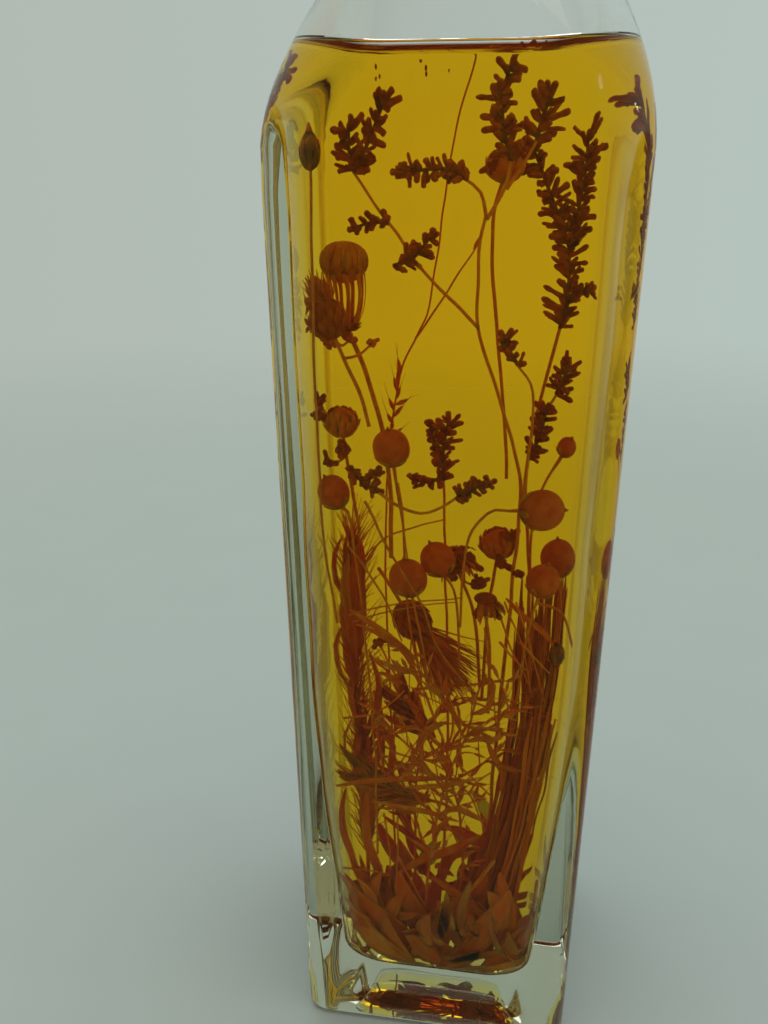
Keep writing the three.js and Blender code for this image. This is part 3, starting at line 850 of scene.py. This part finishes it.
# The same lines and lumps as the CAD plants. An egg is (middle, radii), a tuft is (middle, size,
# how many florets), a thread is (radius, points) and a blade is (width, points).
PLANTS = {
    "statice_spray_tall": planted(make_statice,
        (0.6, [(10, 2, 11.9), (11, 0, 60), (13.6, -3, 115), (13.8, -5, 128), (12.4, -7, 136),
            (8.7, -8, 147), (4.6, -8, 160), (4.1, -8, 172), (5.2, -8, 180)]),
        (0.5, [(5.2, -8, 179.5), (4.2, -8.5, 184), (1.4, -9, 186.4)]),
        (1.5, [(1.6, -9, 186.3), (-2.5, -9, 188), (-10.3, -9, 187.4)]),
        (0.5, [(5.2, -8, 179.5), (8.4, -8, 185), (9.3, -8, 190)]),
        (1.9, [(9.3, -8, 189.5), (7.2, -7.5, 198), (8.7, -7, 203.2)]),
        (0.5, [(8.4, -8, 184.8), (11.4, -7, 189), (13.8, -6.4, 193)]),
        (2.4, [(13.6, -6.4, 192.6), (14.4, -6, 196), (15.4, -6, 199)]),
        (0.5, [(4.6, -8, 160), (-2.8, -6, 166.8), (-8, -3, 172), (-14, 3, 178.5), (-21, 8, 187.3)]),
        (2.1, [(-20.8, 8, 187), (-21.8, 8.4, 190.5), (-22, 8.6, 194.5)]),
        (1.5, [(-20.8, 8, 187), (-18.5, 7, 191.5), (-14.6, 6, 198.5)]),
        (1.5, [(-12, -5, 171), (-8.4, -4, 172.4), (-5, -5.5, 176.3)]),
        (1.3, [(-13.6, 2.8, 178.2), (-17, 3.4, 178.4), (-20.5, 4, 177.2)]),
        (0.45, [(13.7, -4, 121), (15.6, -9, 146), (12, -10, 154)]),
        (1.2, [(12.3, -10, 153.4), (11, -10, 155.6), (9.6, -10, 158.2)])),
    "statice_spray_right": planted(make_statice,
        (0.6, [(17, 8, 11.9), (17, 9, 60), (16.5, 8, 105), (14.5, 7, 126), (16, 5, 140), (18, 4, 151),
            (20, 4, 160)]),
        (2.2, [(19.8, 4, 159), (21, 4, 166.5), (20.6, 4, 174), (21.7, 4, 180), (22.8, 4, 187),
            (23, 4, 193)]),
        (1.8, [(20.6, 4, 174), (17.8, 3.4, 181), (14.6, 3, 188), (12.6, 3, 192)]),
        (1.5, [(21, 4, 165), (23.6, 3, 166.4), (25.6, 2, 167)]),
        (0.45, [(16, 5, 139), (18.6, 2, 144), (20, 1, 147)]),
        (1.8, [(19.8, 1, 146.6), (21, 0.4, 149.5), (22, 0, 152.6)]),
        (1.5, [(15, 6, 132), (17, 3.4, 137.5), (18.3, 2, 143.5)])),
    "statice_sprig_back": planted(make_statice,
        (0.5, [(-1, 10, 11.9), (0, 10, 60), (-2, 9, 115), (-2.4, 8, 127)]),
        (1.7, [(-2.4, 8, 126), (-2.6, 8, 133), (-1.8, 8, 139)]),
        (1.1, [(-2.6, 8, 129), (-4.4, 8, 133), (-5.4, 8, 138)]),
        (1.2, [(-2.4, 8, 127), (-5.5, 7, 125.6), (-8.6, 6, 126.6)])),
    "statice_sprig_front": planted(make_statice,
        (1.4, [(-19, -17, 133.6), (-17.2, -17, 131), (-14, -17.4, 129)]),
        (0.5, [(-14.4, -17.4, 129.2), (-10, -18, 126.6), (-5, -18.4, 125), (-1, -18.5, 126.4),
            (2.2, -18.8, 128.8)]),
        (1.4, [(1.8, -18.8, 128.5), (4, -19, 130), (6.4, -19.3, 131.4)]),
        tufts=[((-13.8, -17, 132.2), 2.2, 7), ((4.1, -18.6, 129.8), 2.6, 8),
            ((7.8, -18.8, 131.7), 2.2, 6)]),
    "grass_stalk_long": planted(make_grass,
        (0.4, [(-12, 15, 11.9), (-14, 15, 70), (-15.5, 15, 110), (-13.3, 14, 143), (-9.3, 13, 155.5),
            (-6.6, 12, 162), (-4.7, 12, 175), (-2.4, 12, 192.3), (1.5, 11, 203.6)]),
        (1.2, [(-14.4, 14.6, 134), (-13.4, 13.8, 141), (-12.2, 13, 148)]),
        (0.35, [(-9.3, 13, 155.3), (-3.6, 10, 163.5), (2.5, 6, 173)])),
    "flax_boll_1": boll((-11, -17, 137.5), 3.7,
        [(-5, -11, 86), (-7, -11, 95), (-8.5, -10.5, 108), (-9, -14, 122)]),
    "flax_boll_2": boll((-23, -14.5, 127.3), 3.5,
        [(-14, -13, 40), (-15, -12, 70), (-17.5, -12, 100), (-19.5, -14, 121)]),
    "flax_boll_3": boll((-7.6, -15.5, 110), 4,
        [(-3, -14, 85), (-5.5, -15, 100)],
        threads=[
            (0.3, [(-15.8, -20, 127), (-9.7, -19.8, 114.6), (-4.8, -19.5, 106.2), (-1.6, -19.2, 97.4),
                (4.1, -19, 88.6)]),
            (0.28, [(-19, -19, 117), (-16.6, -19, 113.9), (-11.8, -19, 105.5), (-8.4, -19, 96.7)]),
            (0.3, [(-9.7, -16, 130.5), (-8.3, -16, 120.1), (-7.6, -16, 113.7)]),
            (0.22, [(-20.3, -14, 100.4), (-9.5, -13, 103.6), (3.2, -12, 105.6)]),
            (0.2, [(-19.7, -12, 98.2), (-9.5, -12, 101.9), (1.8, -12, 104.4)])]),
    "flax_boll_4": boll((-2, -10, 113), 3.7, [(3, -11, 90), (2, -11, 105)]),
    "flax_boll_5": boll((18.3, -19, 127), 4.2,
        [(3, -16, 100), (4, -16, 118), (8, -17, 125.5), (12, -18, 126.3)]),
    "flax_boll_6": boll((22.5, -6, 113.8), 4, [(23, -6, 80), (24, -6, 100)]),
    "flax_boll_7": boll((19.4, -14.5, 111), 3.5, [(15, -14, 80), (17, -14, 100)]),
    "flax_boll_8": boll((22.8, 0, 136), 2.1, [(17, 1, 90), (16.5, 0, 120), (18.4, -1, 128)]),
    "long_bud": planted(make_bud,
        (0.4, [(-22, -19.5, 100), (-24.5, -20, 120), (-25.4, -20, 150), (-25.3, -20, 190)]),
        eggs=[((-25.3, -20, 191), (1.9, 1.9, 3.2))]),
    "dome_flower": planted(make_dome,
        (0.5, [(-12, -7, 112), (-12, -9, 128), (-14, -8, 141), (-17, -7, 150), (-20.6, -6.5, 159)]),
        (2.6, [(-20.6, -6.5, 158.5), (-21.2, -6.5, 170)]),
        eggs=[((-21.3, -6.5, 171.5), (4.7, 4.7, 3.9))]),
    "knapweed_left": planted(make_knapweed,
        (0.5, [(-15.5, -16, 141.5), (-17, -15.4, 147), (-19.6, -15, 153), (-23, -14.5, 160)]),
        eggs=[((-23.5, -14.5, 161.5), (4, 4, 4.4))],
        tufts=[((-26, -14, 164.6), 4.2, 16), ((-26.4, -14, 160.4), 3.6, 12), ((-23.8, -9, 157), 3.2, 12),
            ((-20, -8, 157.3), 2.6, 8), ((-15.7, -8, 156.7), 2.2, 6)]),
    "everlasting_left": planted(make_everlasting,
        (0.45, [(-18.5, -8.5, 118), (-20, -10, 130), (-21.3, -13, 140)]),
        eggs=[((-21.3, -13, 141.5), (4, 4, 3.8))],
        tufts=[((-26, -15, 143.2), 3, 10), ((-20.6, -13, 136.1), 2.8, 9), ((-24.4, -12, 133.1), 2.8, 9),
            ((-26, -12, 145.2), 2.6, 8)]),
    "everlasting_top": planted(make_everlasting,
        (0.45, [(10.5, 4, 128), (10, 2, 140), (7.5, 2, 160), (6, 1, 178), (8, 1, 187)]),
        eggs=[((8, 1, 188.5), (4.2, 4, 3.6))],
        tufts=[((5.7, -1, 188.3), 3.4, 10), ((10.6, 0, 191.2), 3, 9)]),
    "daisy_dark": planted(make_daisy,
        (0.45, [(7, 2, 80), (6.5, 2, 88), (5, 1, 99), (1.5, -1, 109)]),
        eggs=[((1.5, -1, 110.5), (5, 3, 4.2))],
        hang=(0.3, -0.6, -0.7),
        petals=34,
        tufts=[((0.5, -3, 108), 4.2, 16), ((4.2, -2, 110.7), 3.6, 12), ((6.1, -4, 106.9), 3.4, 12),
            ((-2.2, -1, 111.8), 3, 9)]),
    "everlasting_mid": planted(make_everlasting,
        (0.45, [(7.5, 6, 76), (8, 5, 96), (9.6, 2.8, 112)]),
        eggs=[((9.6, 2.5, 114), (4.3, 3.6, 4.3))],
        tufts=[((12.5, 0, 116.5), 3.2, 10), ((10.4, -1, 110.8), 3, 9), ((14.6, -2, 108.7), 2.6, 7)]),
    "daisy_drooping": planted(make_daisy,
        (0.45, [(9.5, -9, 78), (9, -10, 94), (8, -11, 102)]),
        eggs=[((8, -11, 104), (4.3, 3.4, 3.6))],
        hang=(0, -0.15, -1),
        petals=20,
        tufts=[((6.6, -11, 101.8), 2.6, 8), ((10.3, -11, 102), 2.4, 7)]),
    "knapweed_low": planted(make_knapweed,
        (0.5, [(-15, -2, 108), (-12.5, -4, 105), (-9, -4, 99)]),
        eggs=[((-7.6, -3.8, 97), (4.2, 4.2, 5.4)), ((-2, -2.8, 88), (4.6, 4.6, 6))]),
    "straw_bundle_back": planted(make_straws,
        (1.9, [(13, 6, 22), (19.5, 5, 50), (23, 4, 80), (23.4, 3, 104)]),
        count=28),
    "straw_bundle_mid": planted(make_straws,
        (1.7, [(11, -4, 22), (17, -3, 50), (20, -3, 75), (20.5, -2, 95)]),
        count=26,
        tufts=[((18.1, -9, 83.9), 3, 8), ((23.9, -8, 91.2), 3, 8), ((21.6, -8, 76.6), 2.6, 6)]),
    "straw_bundle_front": planted(make_straws,
        (1.6, [(15.5, -10, 25), (20, -9, 50), (22.6, -9, 74)]),
        count=24,
        threads=[
            (0.35, [(18.2, -10, 105.1), (23.8, -8.7, 102.8), (26.8, -7.3, 95.8), (27.6, -6, 88)]),
            (0.22, [(12, -12, 105.2), (15.4, -11, 96.1), (18.5, -10, 84.3)]),
            (0.22, [(14.2, -14, 106), (17.1, -13, 96.9), (21.3, -12, 82.9)]),
            (0.25, [(9.9, -10, 104.4), (13, -9.3, 95.3), (16.1, -8.7, 88.8), (18.1, -8, 83.5)]),
            (0.3, [(11.4, -15, 97.1), (14, -15, 93.9), (17, -15, 91.1)]),
            (0.3, [(15.4, -15, 97.4), (18.4, -14.5, 94.1), (21.9, -14, 90.3)])]),
    "dark_seed": planted(make_bud, eggs=[((23.4, -11, 94), (1.7, 1.7, 2.6))]),
    "hare_tail_grass": planted(make_hare_tail,
        (0.6, [(-18, 8, 12.4), (-18.5, 8, 24), (-18.6, 8, 32)]),
        (4.4, [(-18.6, 8, 30), (-19.4, 8, 50), (-21.4, 7.4, 80), (-22, 6.4, 112)]),
        blades=[
            (2, [(-21.9, -10, 55.8), (-23.1, -10.7, 48.1), (-20.8, -11.3, 39), (-18, -12, 28.3)]),
            (2.4, [(-17.1, -6, 53.5), (-17.5, -6.7, 42.8), (-14.6, -7.3, 32.2), (-13.1, -8, 22.6)])]),
    "grass_panicle_front": planted(make_panicle,
        (0.45, [(-3, -13, 11.9), (-2, -14, 40), (1, -15, 60), (5, -15.5, 74), (8, -16, 88)]),
        (0.4, [(1, -15, 60), (-5, -16, 68), (-12, -16, 76)]),
        (0.4, [(5, -15.5, 74), (0, -17, 84), (-6, -18, 92)]),
        (0.4, [(5, -15.5, 74), (11, -17, 78), (14, -18, 84)]),
        threads=[
            (0.28, [(4, -14, 82.7), (9.9, -13, 80.7), (15.5, -12, 77.7)]),
            (0.3, [(-10.1, -16, 75.5), (-5.8, -15.7, 75), (-1.9, -15.3, 73.1), (-0.3, -15, 70.8)]),
            (0.35, [(-3.9, -13, 83.2), (-1.5, -12.7, 76), (0.4, -12.3, 70.6), (-1.3, -12, 65.2)]),
            (0.35, [(1.7, -10, 80.2), (2.1, -10.5, 74.3), (0.5, -11, 68.1)]),
            (0.4, [(-9, -14, 61.1), (-3.6, -13.3, 67), (1.7, -12.7, 69.4), (6, -12, 70.6)]),
            (0.3, [(3, -15, 67.9), (7.2, -14.5, 63.1), (11.3, -14, 58.5)]),
            (0.3, [(-0.3, -13, 63.2), (5.9, -13, 59.2), (8.8, -13, 53), (10.3, -13, 49.2)]),
            (0.3, [(6, -13, 58.7), (8, -13, 62.1), (11, -13, 65)]),
            (0.25, [(-9.3, -16, 52.2), (-9.5, -15.5, 42.4), (-9.9, -15, 32.3)]),
            (0.25, [(-12.6, -14, 51.7), (-11.4, -14, 41.5), (-11.2, -14, 31.7)]),
            (0.25, [(-9.2, -16, 41.3), (-5.9, -16, 34.8), (-2.8, -16, 28.2)]),
            (0.45, [(12.6, -19, 44.3), (7.4, -19, 35.4), (2.2, -19, 25.6)])],
        blades=[
            (1.4, [(12, -13, 106.2), (15.5, -12.7, 103), (20.4, -12.3, 98.8), (22.8, -12, 95.9)]),
            (1.6, [(-19.7, -15, 101.9), (-15.1, -14.7, 99.4), (-9.7, -14.3, 94.6), (-5, -14, 90.2)]),
            (1.3, [(-18.6, -14, 98.4), (-13.5, -14, 96), (-8.4, -14, 92.3), (-3.7, -14, 83.6)])]),
    "grass_panicle_mid": planted(make_panicle,
        (0.45, [(4, -6, 11.9), (5, -7, 40), (2, -7, 58), (-4, -7, 70), (-8, -7, 80)]),
        (0.4, [(2, -7, 58), (8, -7, 64), (13, -8, 70)]),
        threads=[
            (0.4, [(-6.6, -6, 80.9), (-0.2, -5, 81.9), (11.6, -4, 83.9)]),
            (0.3, [(-21.9, -12, 74.7), (-15.4, -12.7, 76.6), (-11, -13.3, 80.3), (-8.1, -14, 83.7)]),
            (0.3, [(-15.9, -12, 81.8), (-14.3, -11, 69), (-12.6, -10, 57.9)]),
            (0.25, [(-12.9, -9, 67.1), (-9.6, -8.7, 65.5), (-2.9, -8.3, 64), (2.8, -8, 60.6)]),
            (0.25, [(7.8, -8, 97.9), (8.9, -7.3, 89.6), (10.6, -6.7, 79.9), (11.6, -6, 69.7)]),
            (0.3, [(-22.9, -14, 35.5), (-15.5, -13, 35.4), (-10.9, -12, 33.9)])],
        tufts=[((-8.9, -8, 81.5), 2.8, 8), ((-3.1, -8, 73.6), 2.4, 6), ((-14.5, -9, 92.9), 2.6, 7)]),
    "grass_panicle_back": planted(make_panicle,
        (0.45, [(-6, 4, 11.9), (-7, 5, 45), (-5, 5, 65), (2, 6, 76)]),
        (0.4, [(-7, 5, 45), (-11, 3, 56), (-13, 2, 68)]),
        threads=[(0.25, [(-19, 6, 106.9), (-14.7, 6.7, 112.9), (-8.3, 7.3, 115.4), (-1.9, 8, 117.6)])]),
    "barley_ear_front": planted(make_ear,
        (0.5, [(3, -2, 49), (0, -3, 51), (-3, -4, 52)]),
        (1.8, [(-2.6, -4, 52), (-10, -5, 54), (-17, -6, 58)]),
        blades=[
            (1.6, [(-24.4, -12, 57.4), (-13.6, -12.7, 60), (-3.6, -13.3, 61.9), (5.5, -14, 62.5)]),
            (1.5, [(-15.3, -14, 54.5), (-6.7, -14, 54), (0, -14, 52.7), (4.5, -14, 51.4)]),
            (2.4, [(8.8, -8, 46.2), (3.3, -8.7, 42), (-3.5, -9.3, 38.1), (-10.1, -10, 33.6)]),
            (1.4, [(-8.5, -15, 59.5), (-0.1, -15, 61.2), (5.5, -15, 62.9), (8.5, -15, 64)]),
            (1.6, [(9.2, -8, 71.3), (10.7, -8, 67.4), (13.1, -8, 62.6), (12.8, -8, 57.9)])]),
    "barley_ear_back": planted(make_ear, (1.7, [(-3, 12.5, 62), (-7, 12, 66), (-11, 11.5, 72)])),
    "everlasting_low": planted(make_everlasting,
        (0.6, [(3, -18, 13), (4.5, -16.5, 18), (6, -15, 22)]),
        eggs=[((6, -15, 26), (7, 4.6, 6.4))]),
    "leaf_low_1": petals((-12, -16, 25), (7, 1.2, 10),
        blades=[
            (5, [(-1.4, -15, 11.1), (-8.6, -15.7, 19.9), (-15.2, -16.3, 26.5), (-19.8, -17, 32)]),
            (5, [(-4.8, -18, 12.8), (-11.9, -18.3, 16.3), (-16.6, -18.7, 21.7), (-20.1, -19, 27.2)])]),
    "leaf_low_2": petals((-11, -3, 25), (5, 1.2, 10.5),
        blades=[
            (6, [(4.4, -12, 9.5), (-2.9, -12.7, 20.6), (-7.7, -13.3, 30.4), (-9.3, -14, 36.7)]),
            (5, [(-14.1, -8, 9), (-16.1, -7.3, 17.4), (-15.6, -6.7, 26), (-14.3, -6, 33.9)])]),
    "leaf_low_3": petals((-3, 18, 27), (6, 1.2, 11),
        blades=[(6, [(-13.1, 10, -2), (-8.2, 10.7, 7.7), (-5.8, 11.3, 16.9), (-7.3, 12, 23.9)])]),
    "leaf_low_4": petals((9.5, 17, 32), (5, 1.2, 13),
        blades=[
            (6, [(7.9, -10, 8), (7.5, -10, 19.3), (8.6, -10, 29.6), (10.6, -10, 37.5)]),
            (5, [(23, -8, 11.8), (19.1, -7.3, 19.7), (16.9, -6.7, 26.3), (15.7, -6, 31.5)])]),
    "leaf_low_5": petals((4, -21, 25), (6, 1, 9),
        blades=[
            (6, [(1.2, -19, 11.9), (7.9, -19, 19.8), (13.2, -19, 29.2), (16.3, -19, 36.6)]),
            (5, [(-8.4, -17, 12.3), (-1.4, -17.3, 20.4), (4.1, -17.7, 30), (7.3, -18, 36.3)])]),
    "leaf_low_6": petals((16, -16.5, 27), (4, 1.2, 11),
        blades=[
            (5, [(15, -17, 11.9), (16.4, -16.7, 22.8), (15.3, -16.3, 32.4), (13.8, -16, 39.8)]),
            (5, [(19.6, -14, 12.1), (22.6, -13.3, 20.5), (23.6, -12.7, 30.3), (22.8, -12, 36.8)]),
            (6, [(10.4, -18, 12.2), (17, -17.3, 20.3), (23.4, -16.7, 26.7), (26.6, -16, 32.5)])]),
    "leaf_low_7": petals((6, 12, 27), (5, 1.2, 11),
        blades=[
            (6, [(-2.5, 4, -0.3), (-1.5, 4.7, 8.8), (-3, 5.3, 18.8), (-0.7, 6, 27)]),
            (6, [(14.8, 8, 0.2), (9.4, 8.7, 9.8), (4.2, 9.3, 17.8), (2.8, 10, 23.8)])]),
    "leaf_low_8": petals((-17.5, -9, 28), (4, 1.2, 11)),
}

# How deep light gets into each kind of plant, in metres
DEPTHS = {
    "statice": (0.0012, 0.0006, 0.0012), "boll": (0.003, 0.0006), "flower": (0.0003, 0.0006, 0.0003, 0.003),
    "knapweed": (0.0006, 0.0006, 0.0003), "grass": (0.0002, 0.0003, 0.0003),
    "straw": (0.0003, 0.0003, 0.0003), "leaf": (0.00015, 0.00015, 0.00015),
}
FIBROUS = ("straw", "leaf", "grass")
# The dark and the light colour of each material. The first is for heads, the second mostly for stems.
TONES = {
    "statice": [((0.34, 0.08, 0.012), (0.62, 0.19, 0.03)), ((0.76, 0.32, 0.05), (0.92, 0.48, 0.08)),
                ((0.34, 0.08, 0.012), (0.62, 0.19, 0.03))],
    "boll": [((0.66, 0.14, 0.02), (0.84, 0.24, 0.04)), ((0.7, 0.27, 0.05), (0.88, 0.44, 0.08))],
    "flower": [((0.94, 0.22, 0.025), (0.99, 0.38, 0.05)), ((0.7, 0.28, 0.05), (0.9, 0.44, 0.1)),
               ((0.36, 0.08, 0.02), (0.62, 0.17, 0.03)), ((0.86, 0.2, 0.02), (0.96, 0.32, 0.04))],
    "knapweed": [((0.5, 0.1, 0.015), (0.74, 0.2, 0.03)), ((0.7, 0.27, 0.05), (0.88, 0.42, 0.08)),
                 ((0.72, 0.18, 0.03), (0.92, 0.32, 0.05))],
    "grass": [((0.86, 0.22, 0.03), (0.97, 0.35, 0.05)), ((0.9, 0.29, 0.04), (0.98, 0.44, 0.08)),
              ((0.4, 0.1, 0.02), (0.66, 0.22, 0.04))],
    "straw": [((0.8, 0.24, 0.03), (0.96, 0.38, 0.06)), ((0.9, 0.3, 0.04), (0.98, 0.46, 0.09)),
              ((0.46, 0.12, 0.02), (0.72, 0.23, 0.04))],
    "leaf": [((0.93, 0.25, 0.03), (0.99, 0.38, 0.05)), ((0.94, 0.31, 0.04), (0.99, 0.46, 0.08)),
             ((0.7, 0.2, 0.03), (0.9, 0.34, 0.05))],
}


def make_plants():
    materials = {}
    for slot, tones in TONES.items():
        fibre = (1, 1, 0.25) if slot in FIBROUS else (1, 1, 1)
        materials[slot] = [
            plant_material(f"{slot}_{n}", dark, light, fibre=fibre, depth=DEPTHS[slot][n])
            for n, (dark, light) in enumerate(tones)
        ]
    for name, plant in PLANTS.items():
        shape = Shape()
        rng = random.Random(name)
        plant["recipe"](shape, plant, rng)
        for at, size, count in plant.get("tufts", []):
            tuft(shape, Vector(at), size, count, rng)
            twig_to(shape, plant, Vector(at))
        for n, (r, via) in enumerate(plant.get("threads", [])):
            tube(shape, route(via, stray=0.4, seed=n), thinning(r, r * 0.6), sides=5, slot=1)
        for n, (width, via) in enumerate(plant.get("blades", [])):
            blade(shape, route(via, stray=0.6, seed=n), width, FRONT, cup=0.45, thick=0.14, slot=n % 2)
        shape.points = [held_inside(p) for p in shape.points]
        kind = KINDS[plant["recipe"]]
        used = materials[kind]
        shape.slots = [min(n, len(used) - 1) for n in shape.slots]
        shape.make(name + "_fine", used, node=name)


def make_droplets():
    """Small red drops that hang under the oil's skin near the front."""
    rng = random.Random(3)
    shape = Shape()
    for _ in range(7):
        at = Vector((rng.uniform(-19, 2), rng.uniform(-22, -12), OIL_Z - rng.uniform(0.8, 3.5)))
        r = rng.uniform(0.12, 0.28)
        egg(shape, at, UP, (r, r * 1.9), sides=12, steps=8)
    shape.points = [held_inside(p) for p in shape.points]
    red = plant_material("red_drops", (0.35, 0.03, 0.01), (0.5, 0.06, 0.01), rough=0.3)
    shape.make("red_drops", [red])


def make_cork():
    """A tapered cork with soft edges, small pits and a slightly uneven face."""
    low, high = CORK_LOW.z, CORK_HIGH.z
    head = CORK_HIGH.x
    neck = BORE_R - 0.4
    profile = [(low, 1), (low, 3), (low, 5.5), (low + 0.1, 7.4), (low + 0.6, 8.5), (low + 1.6, 8.8)]
    profile += [(low + 4 + 3.2 * i, 8.85 + (neck - 8.85) * i / 5) for i in range(6)]
    profile += [(TOP_Z - 0.6, neck + 0.15), (TOP_Z + 1.2, neck + 0.75)]
    profile += [(TOP_Z + 2.5 + 2 * i, neck + 0.95 + (head - neck - 1.05) * i / 5) for i in range(6)]
    profile += [(high - 1.1, head - 0.1), (high - 0.5, head - 0.25), (high - 0.12, head - 0.8)]
    profile += [(high, r) for r in (head - 1.6, 8, 6, 4, 2, 1)]
    shape = Shape()
    rings = []
    for z, r in profile:
        ring = []
        for i in range(72):
            turn = 2 * math.pi * i / 72
            point = Vector((r * math.cos(turn), r * math.sin(turn), z))
            waves = noise.noise(point * 0.55) + 0.5 * noise.noise(point * 1.6)
            pit = max(0, waves - 0.45) * 0.5
            inward = -compass(turn) if r > 8.4 and z < high - 0.3 else -UP
            ring.append(point + inward * pit if z > low + 0.3 else point + UP * pit)
        rings.append(ring)
    shape.loft(rings)
    shape.make("cork_fine", [cork_material()], body="cork", node="cork_stopper")


# ---------- the studio ----------


def make_camera():
    camera = bpy.data.cameras.new("camera")
    camera.lens = 34.5
    camera.clip_start = 0.01
    eye = bpy.data.objects.new("camera", camera)
    eye.location = (0.017, -0.201, 0.192)
    eye.rotation_euler = (math.radians(90 - 20.5), 0, math.radians(9.34))
    scene.collection.objects.link(eye)
    scene.camera = eye


def make_world():
    """A pale studio: warm on the camera's side, grey behind the bottle and cooler to the right."""
    world = bpy.data.worlds.new("studio")
    world.use_nodes = True
    scene.world = world
    tree = world.node_tree
    place = add(tree, "TexCoord", {})
    parts = add(tree, "SeparateXYZ", {"Vector": place.outputs["Generated"]}).outputs
    depth = add(tree, "MapRange", {"Value": parts["Y"], "From Min": -0.5, "From Max": 0.9},
                interpolation_type="SMOOTHSTEP")
    across = add(tree, "MapRange", {"Value": parts["X"], "From Min": -0.7, "From Max": 0.5})
    height = add(tree, "MapRange", {"Value": parts["Z"], "From Min": 0.15, "From Max": 0.8, "To Max": 0.95,
                                    "To Min": 1}, interpolation_type="SMOOTHSTEP")
    behind = ramp(tree, depth.outputs["Result"], [(0, (0.66, 0.57, 0.42)), (1, (0.5, 0.565, 0.525))])
    tint = ramp(tree, across.outputs["Result"], [(0, (0.86, 0.85, 0.82)), (1, (0.95, 1.0, 1.02))])
    feed(tree, tree.nodes["Background"], {
        "Color": multiplied(tree, behind, tint), "Strength": height.outputs["Result"],
    })


def make_floor():
    """A pale floor that fades into the studio's light, with a breath of air under the bottle."""
    radius = 1.6
    level = -0.0002
    sides = 64
    material, tree, shader = new_material("floor")
    pale = ramp(tree, object_noise(tree, 30), [(0.3, (0.46, 0.56, 0.58)), (0.7, (0.47, 0.57, 0.59))])
    feed(tree, shader, {"Base Color": pale, "Roughness": 0.7})
    place = add(tree, "TexCoord", {}).outputs["Object"]
    length = add(tree, "VectorMath", {"Vector": place}, operation="LENGTH").outputs["Value"]
    fade = add(tree, "MapRange", {"Value": length, "From Min": 0.3, "From Max": 0.95},
               interpolation_type="SMOOTHSTEP")
    clear = add(tree, "BsdfTransparent", {})
    mix = add(tree, "MixShader", {"Fac": fade.outputs["Result"]})
    tree.links.new(shader.outputs["BSDF"], mix.inputs[1])
    tree.links.new(clear.outputs["BSDF"], mix.inputs[2])
    feed(tree, tree.nodes["Material Output"], {"Surface": mix.outputs["Shader"]})
    turns = np.linspace(0, 2 * math.pi, sides, endpoint=False)
    radii = np.linspace(0.05, radius, 12)
    rings = [[(r * math.cos(a), r * math.sin(a), level) for a in turns] for r in radii]
    faces = [tuple(range(sides))]
    for k in range(len(rings) - 1):
        low, high = sides * k, sides * (k + 1)
        faces += [(low + i, high + i, high + (i + 1) % sides, low + (i + 1) % sides) for i in range(sides)]
    mesh = bpy.data.meshes.new("floor")
    mesh.from_pydata([p for ring in rings for p in ring], [], faces)
    mesh.materials.append(material)
    floor = bpy.data.objects.new("floor", mesh)
    scene.collection.objects.link(floor)


def make_lamp(name, place, aim, size, power, colour=(1, 1, 1)):
    lamp = bpy.data.lights.new(name, "AREA")
    lamp.size = size
    lamp.energy = power
    lamp.color = colour
    ob = bpy.data.objects.new(name, lamp)
    ob.location = place
    ob.rotation_euler = (Vector(aim) - Vector(place)).to_track_quat("-Z", "Y").to_euler()
    scene.collection.objects.link(ob)


make_camera()
make_world()
make_floor()
make_lamp("overhead", (0, 0.3, 1.6), (0, 0.3, 0), 1.4, 8.5)
make_lamp("window", (1.1, -0.05, 0.95), (0, 0, 0.15), 0.09, 0.35, (0.93, 0.96, 1))
make_bottle()
make_oil()
make_droplets()
make_plants()
make_cork()

scene.view_settings.view_transform = "Standard"
scene.cycles.max_bounces = 32
scene.cycles.transmission_bounces = 32
scene.cycles.glossy_bounces = 8
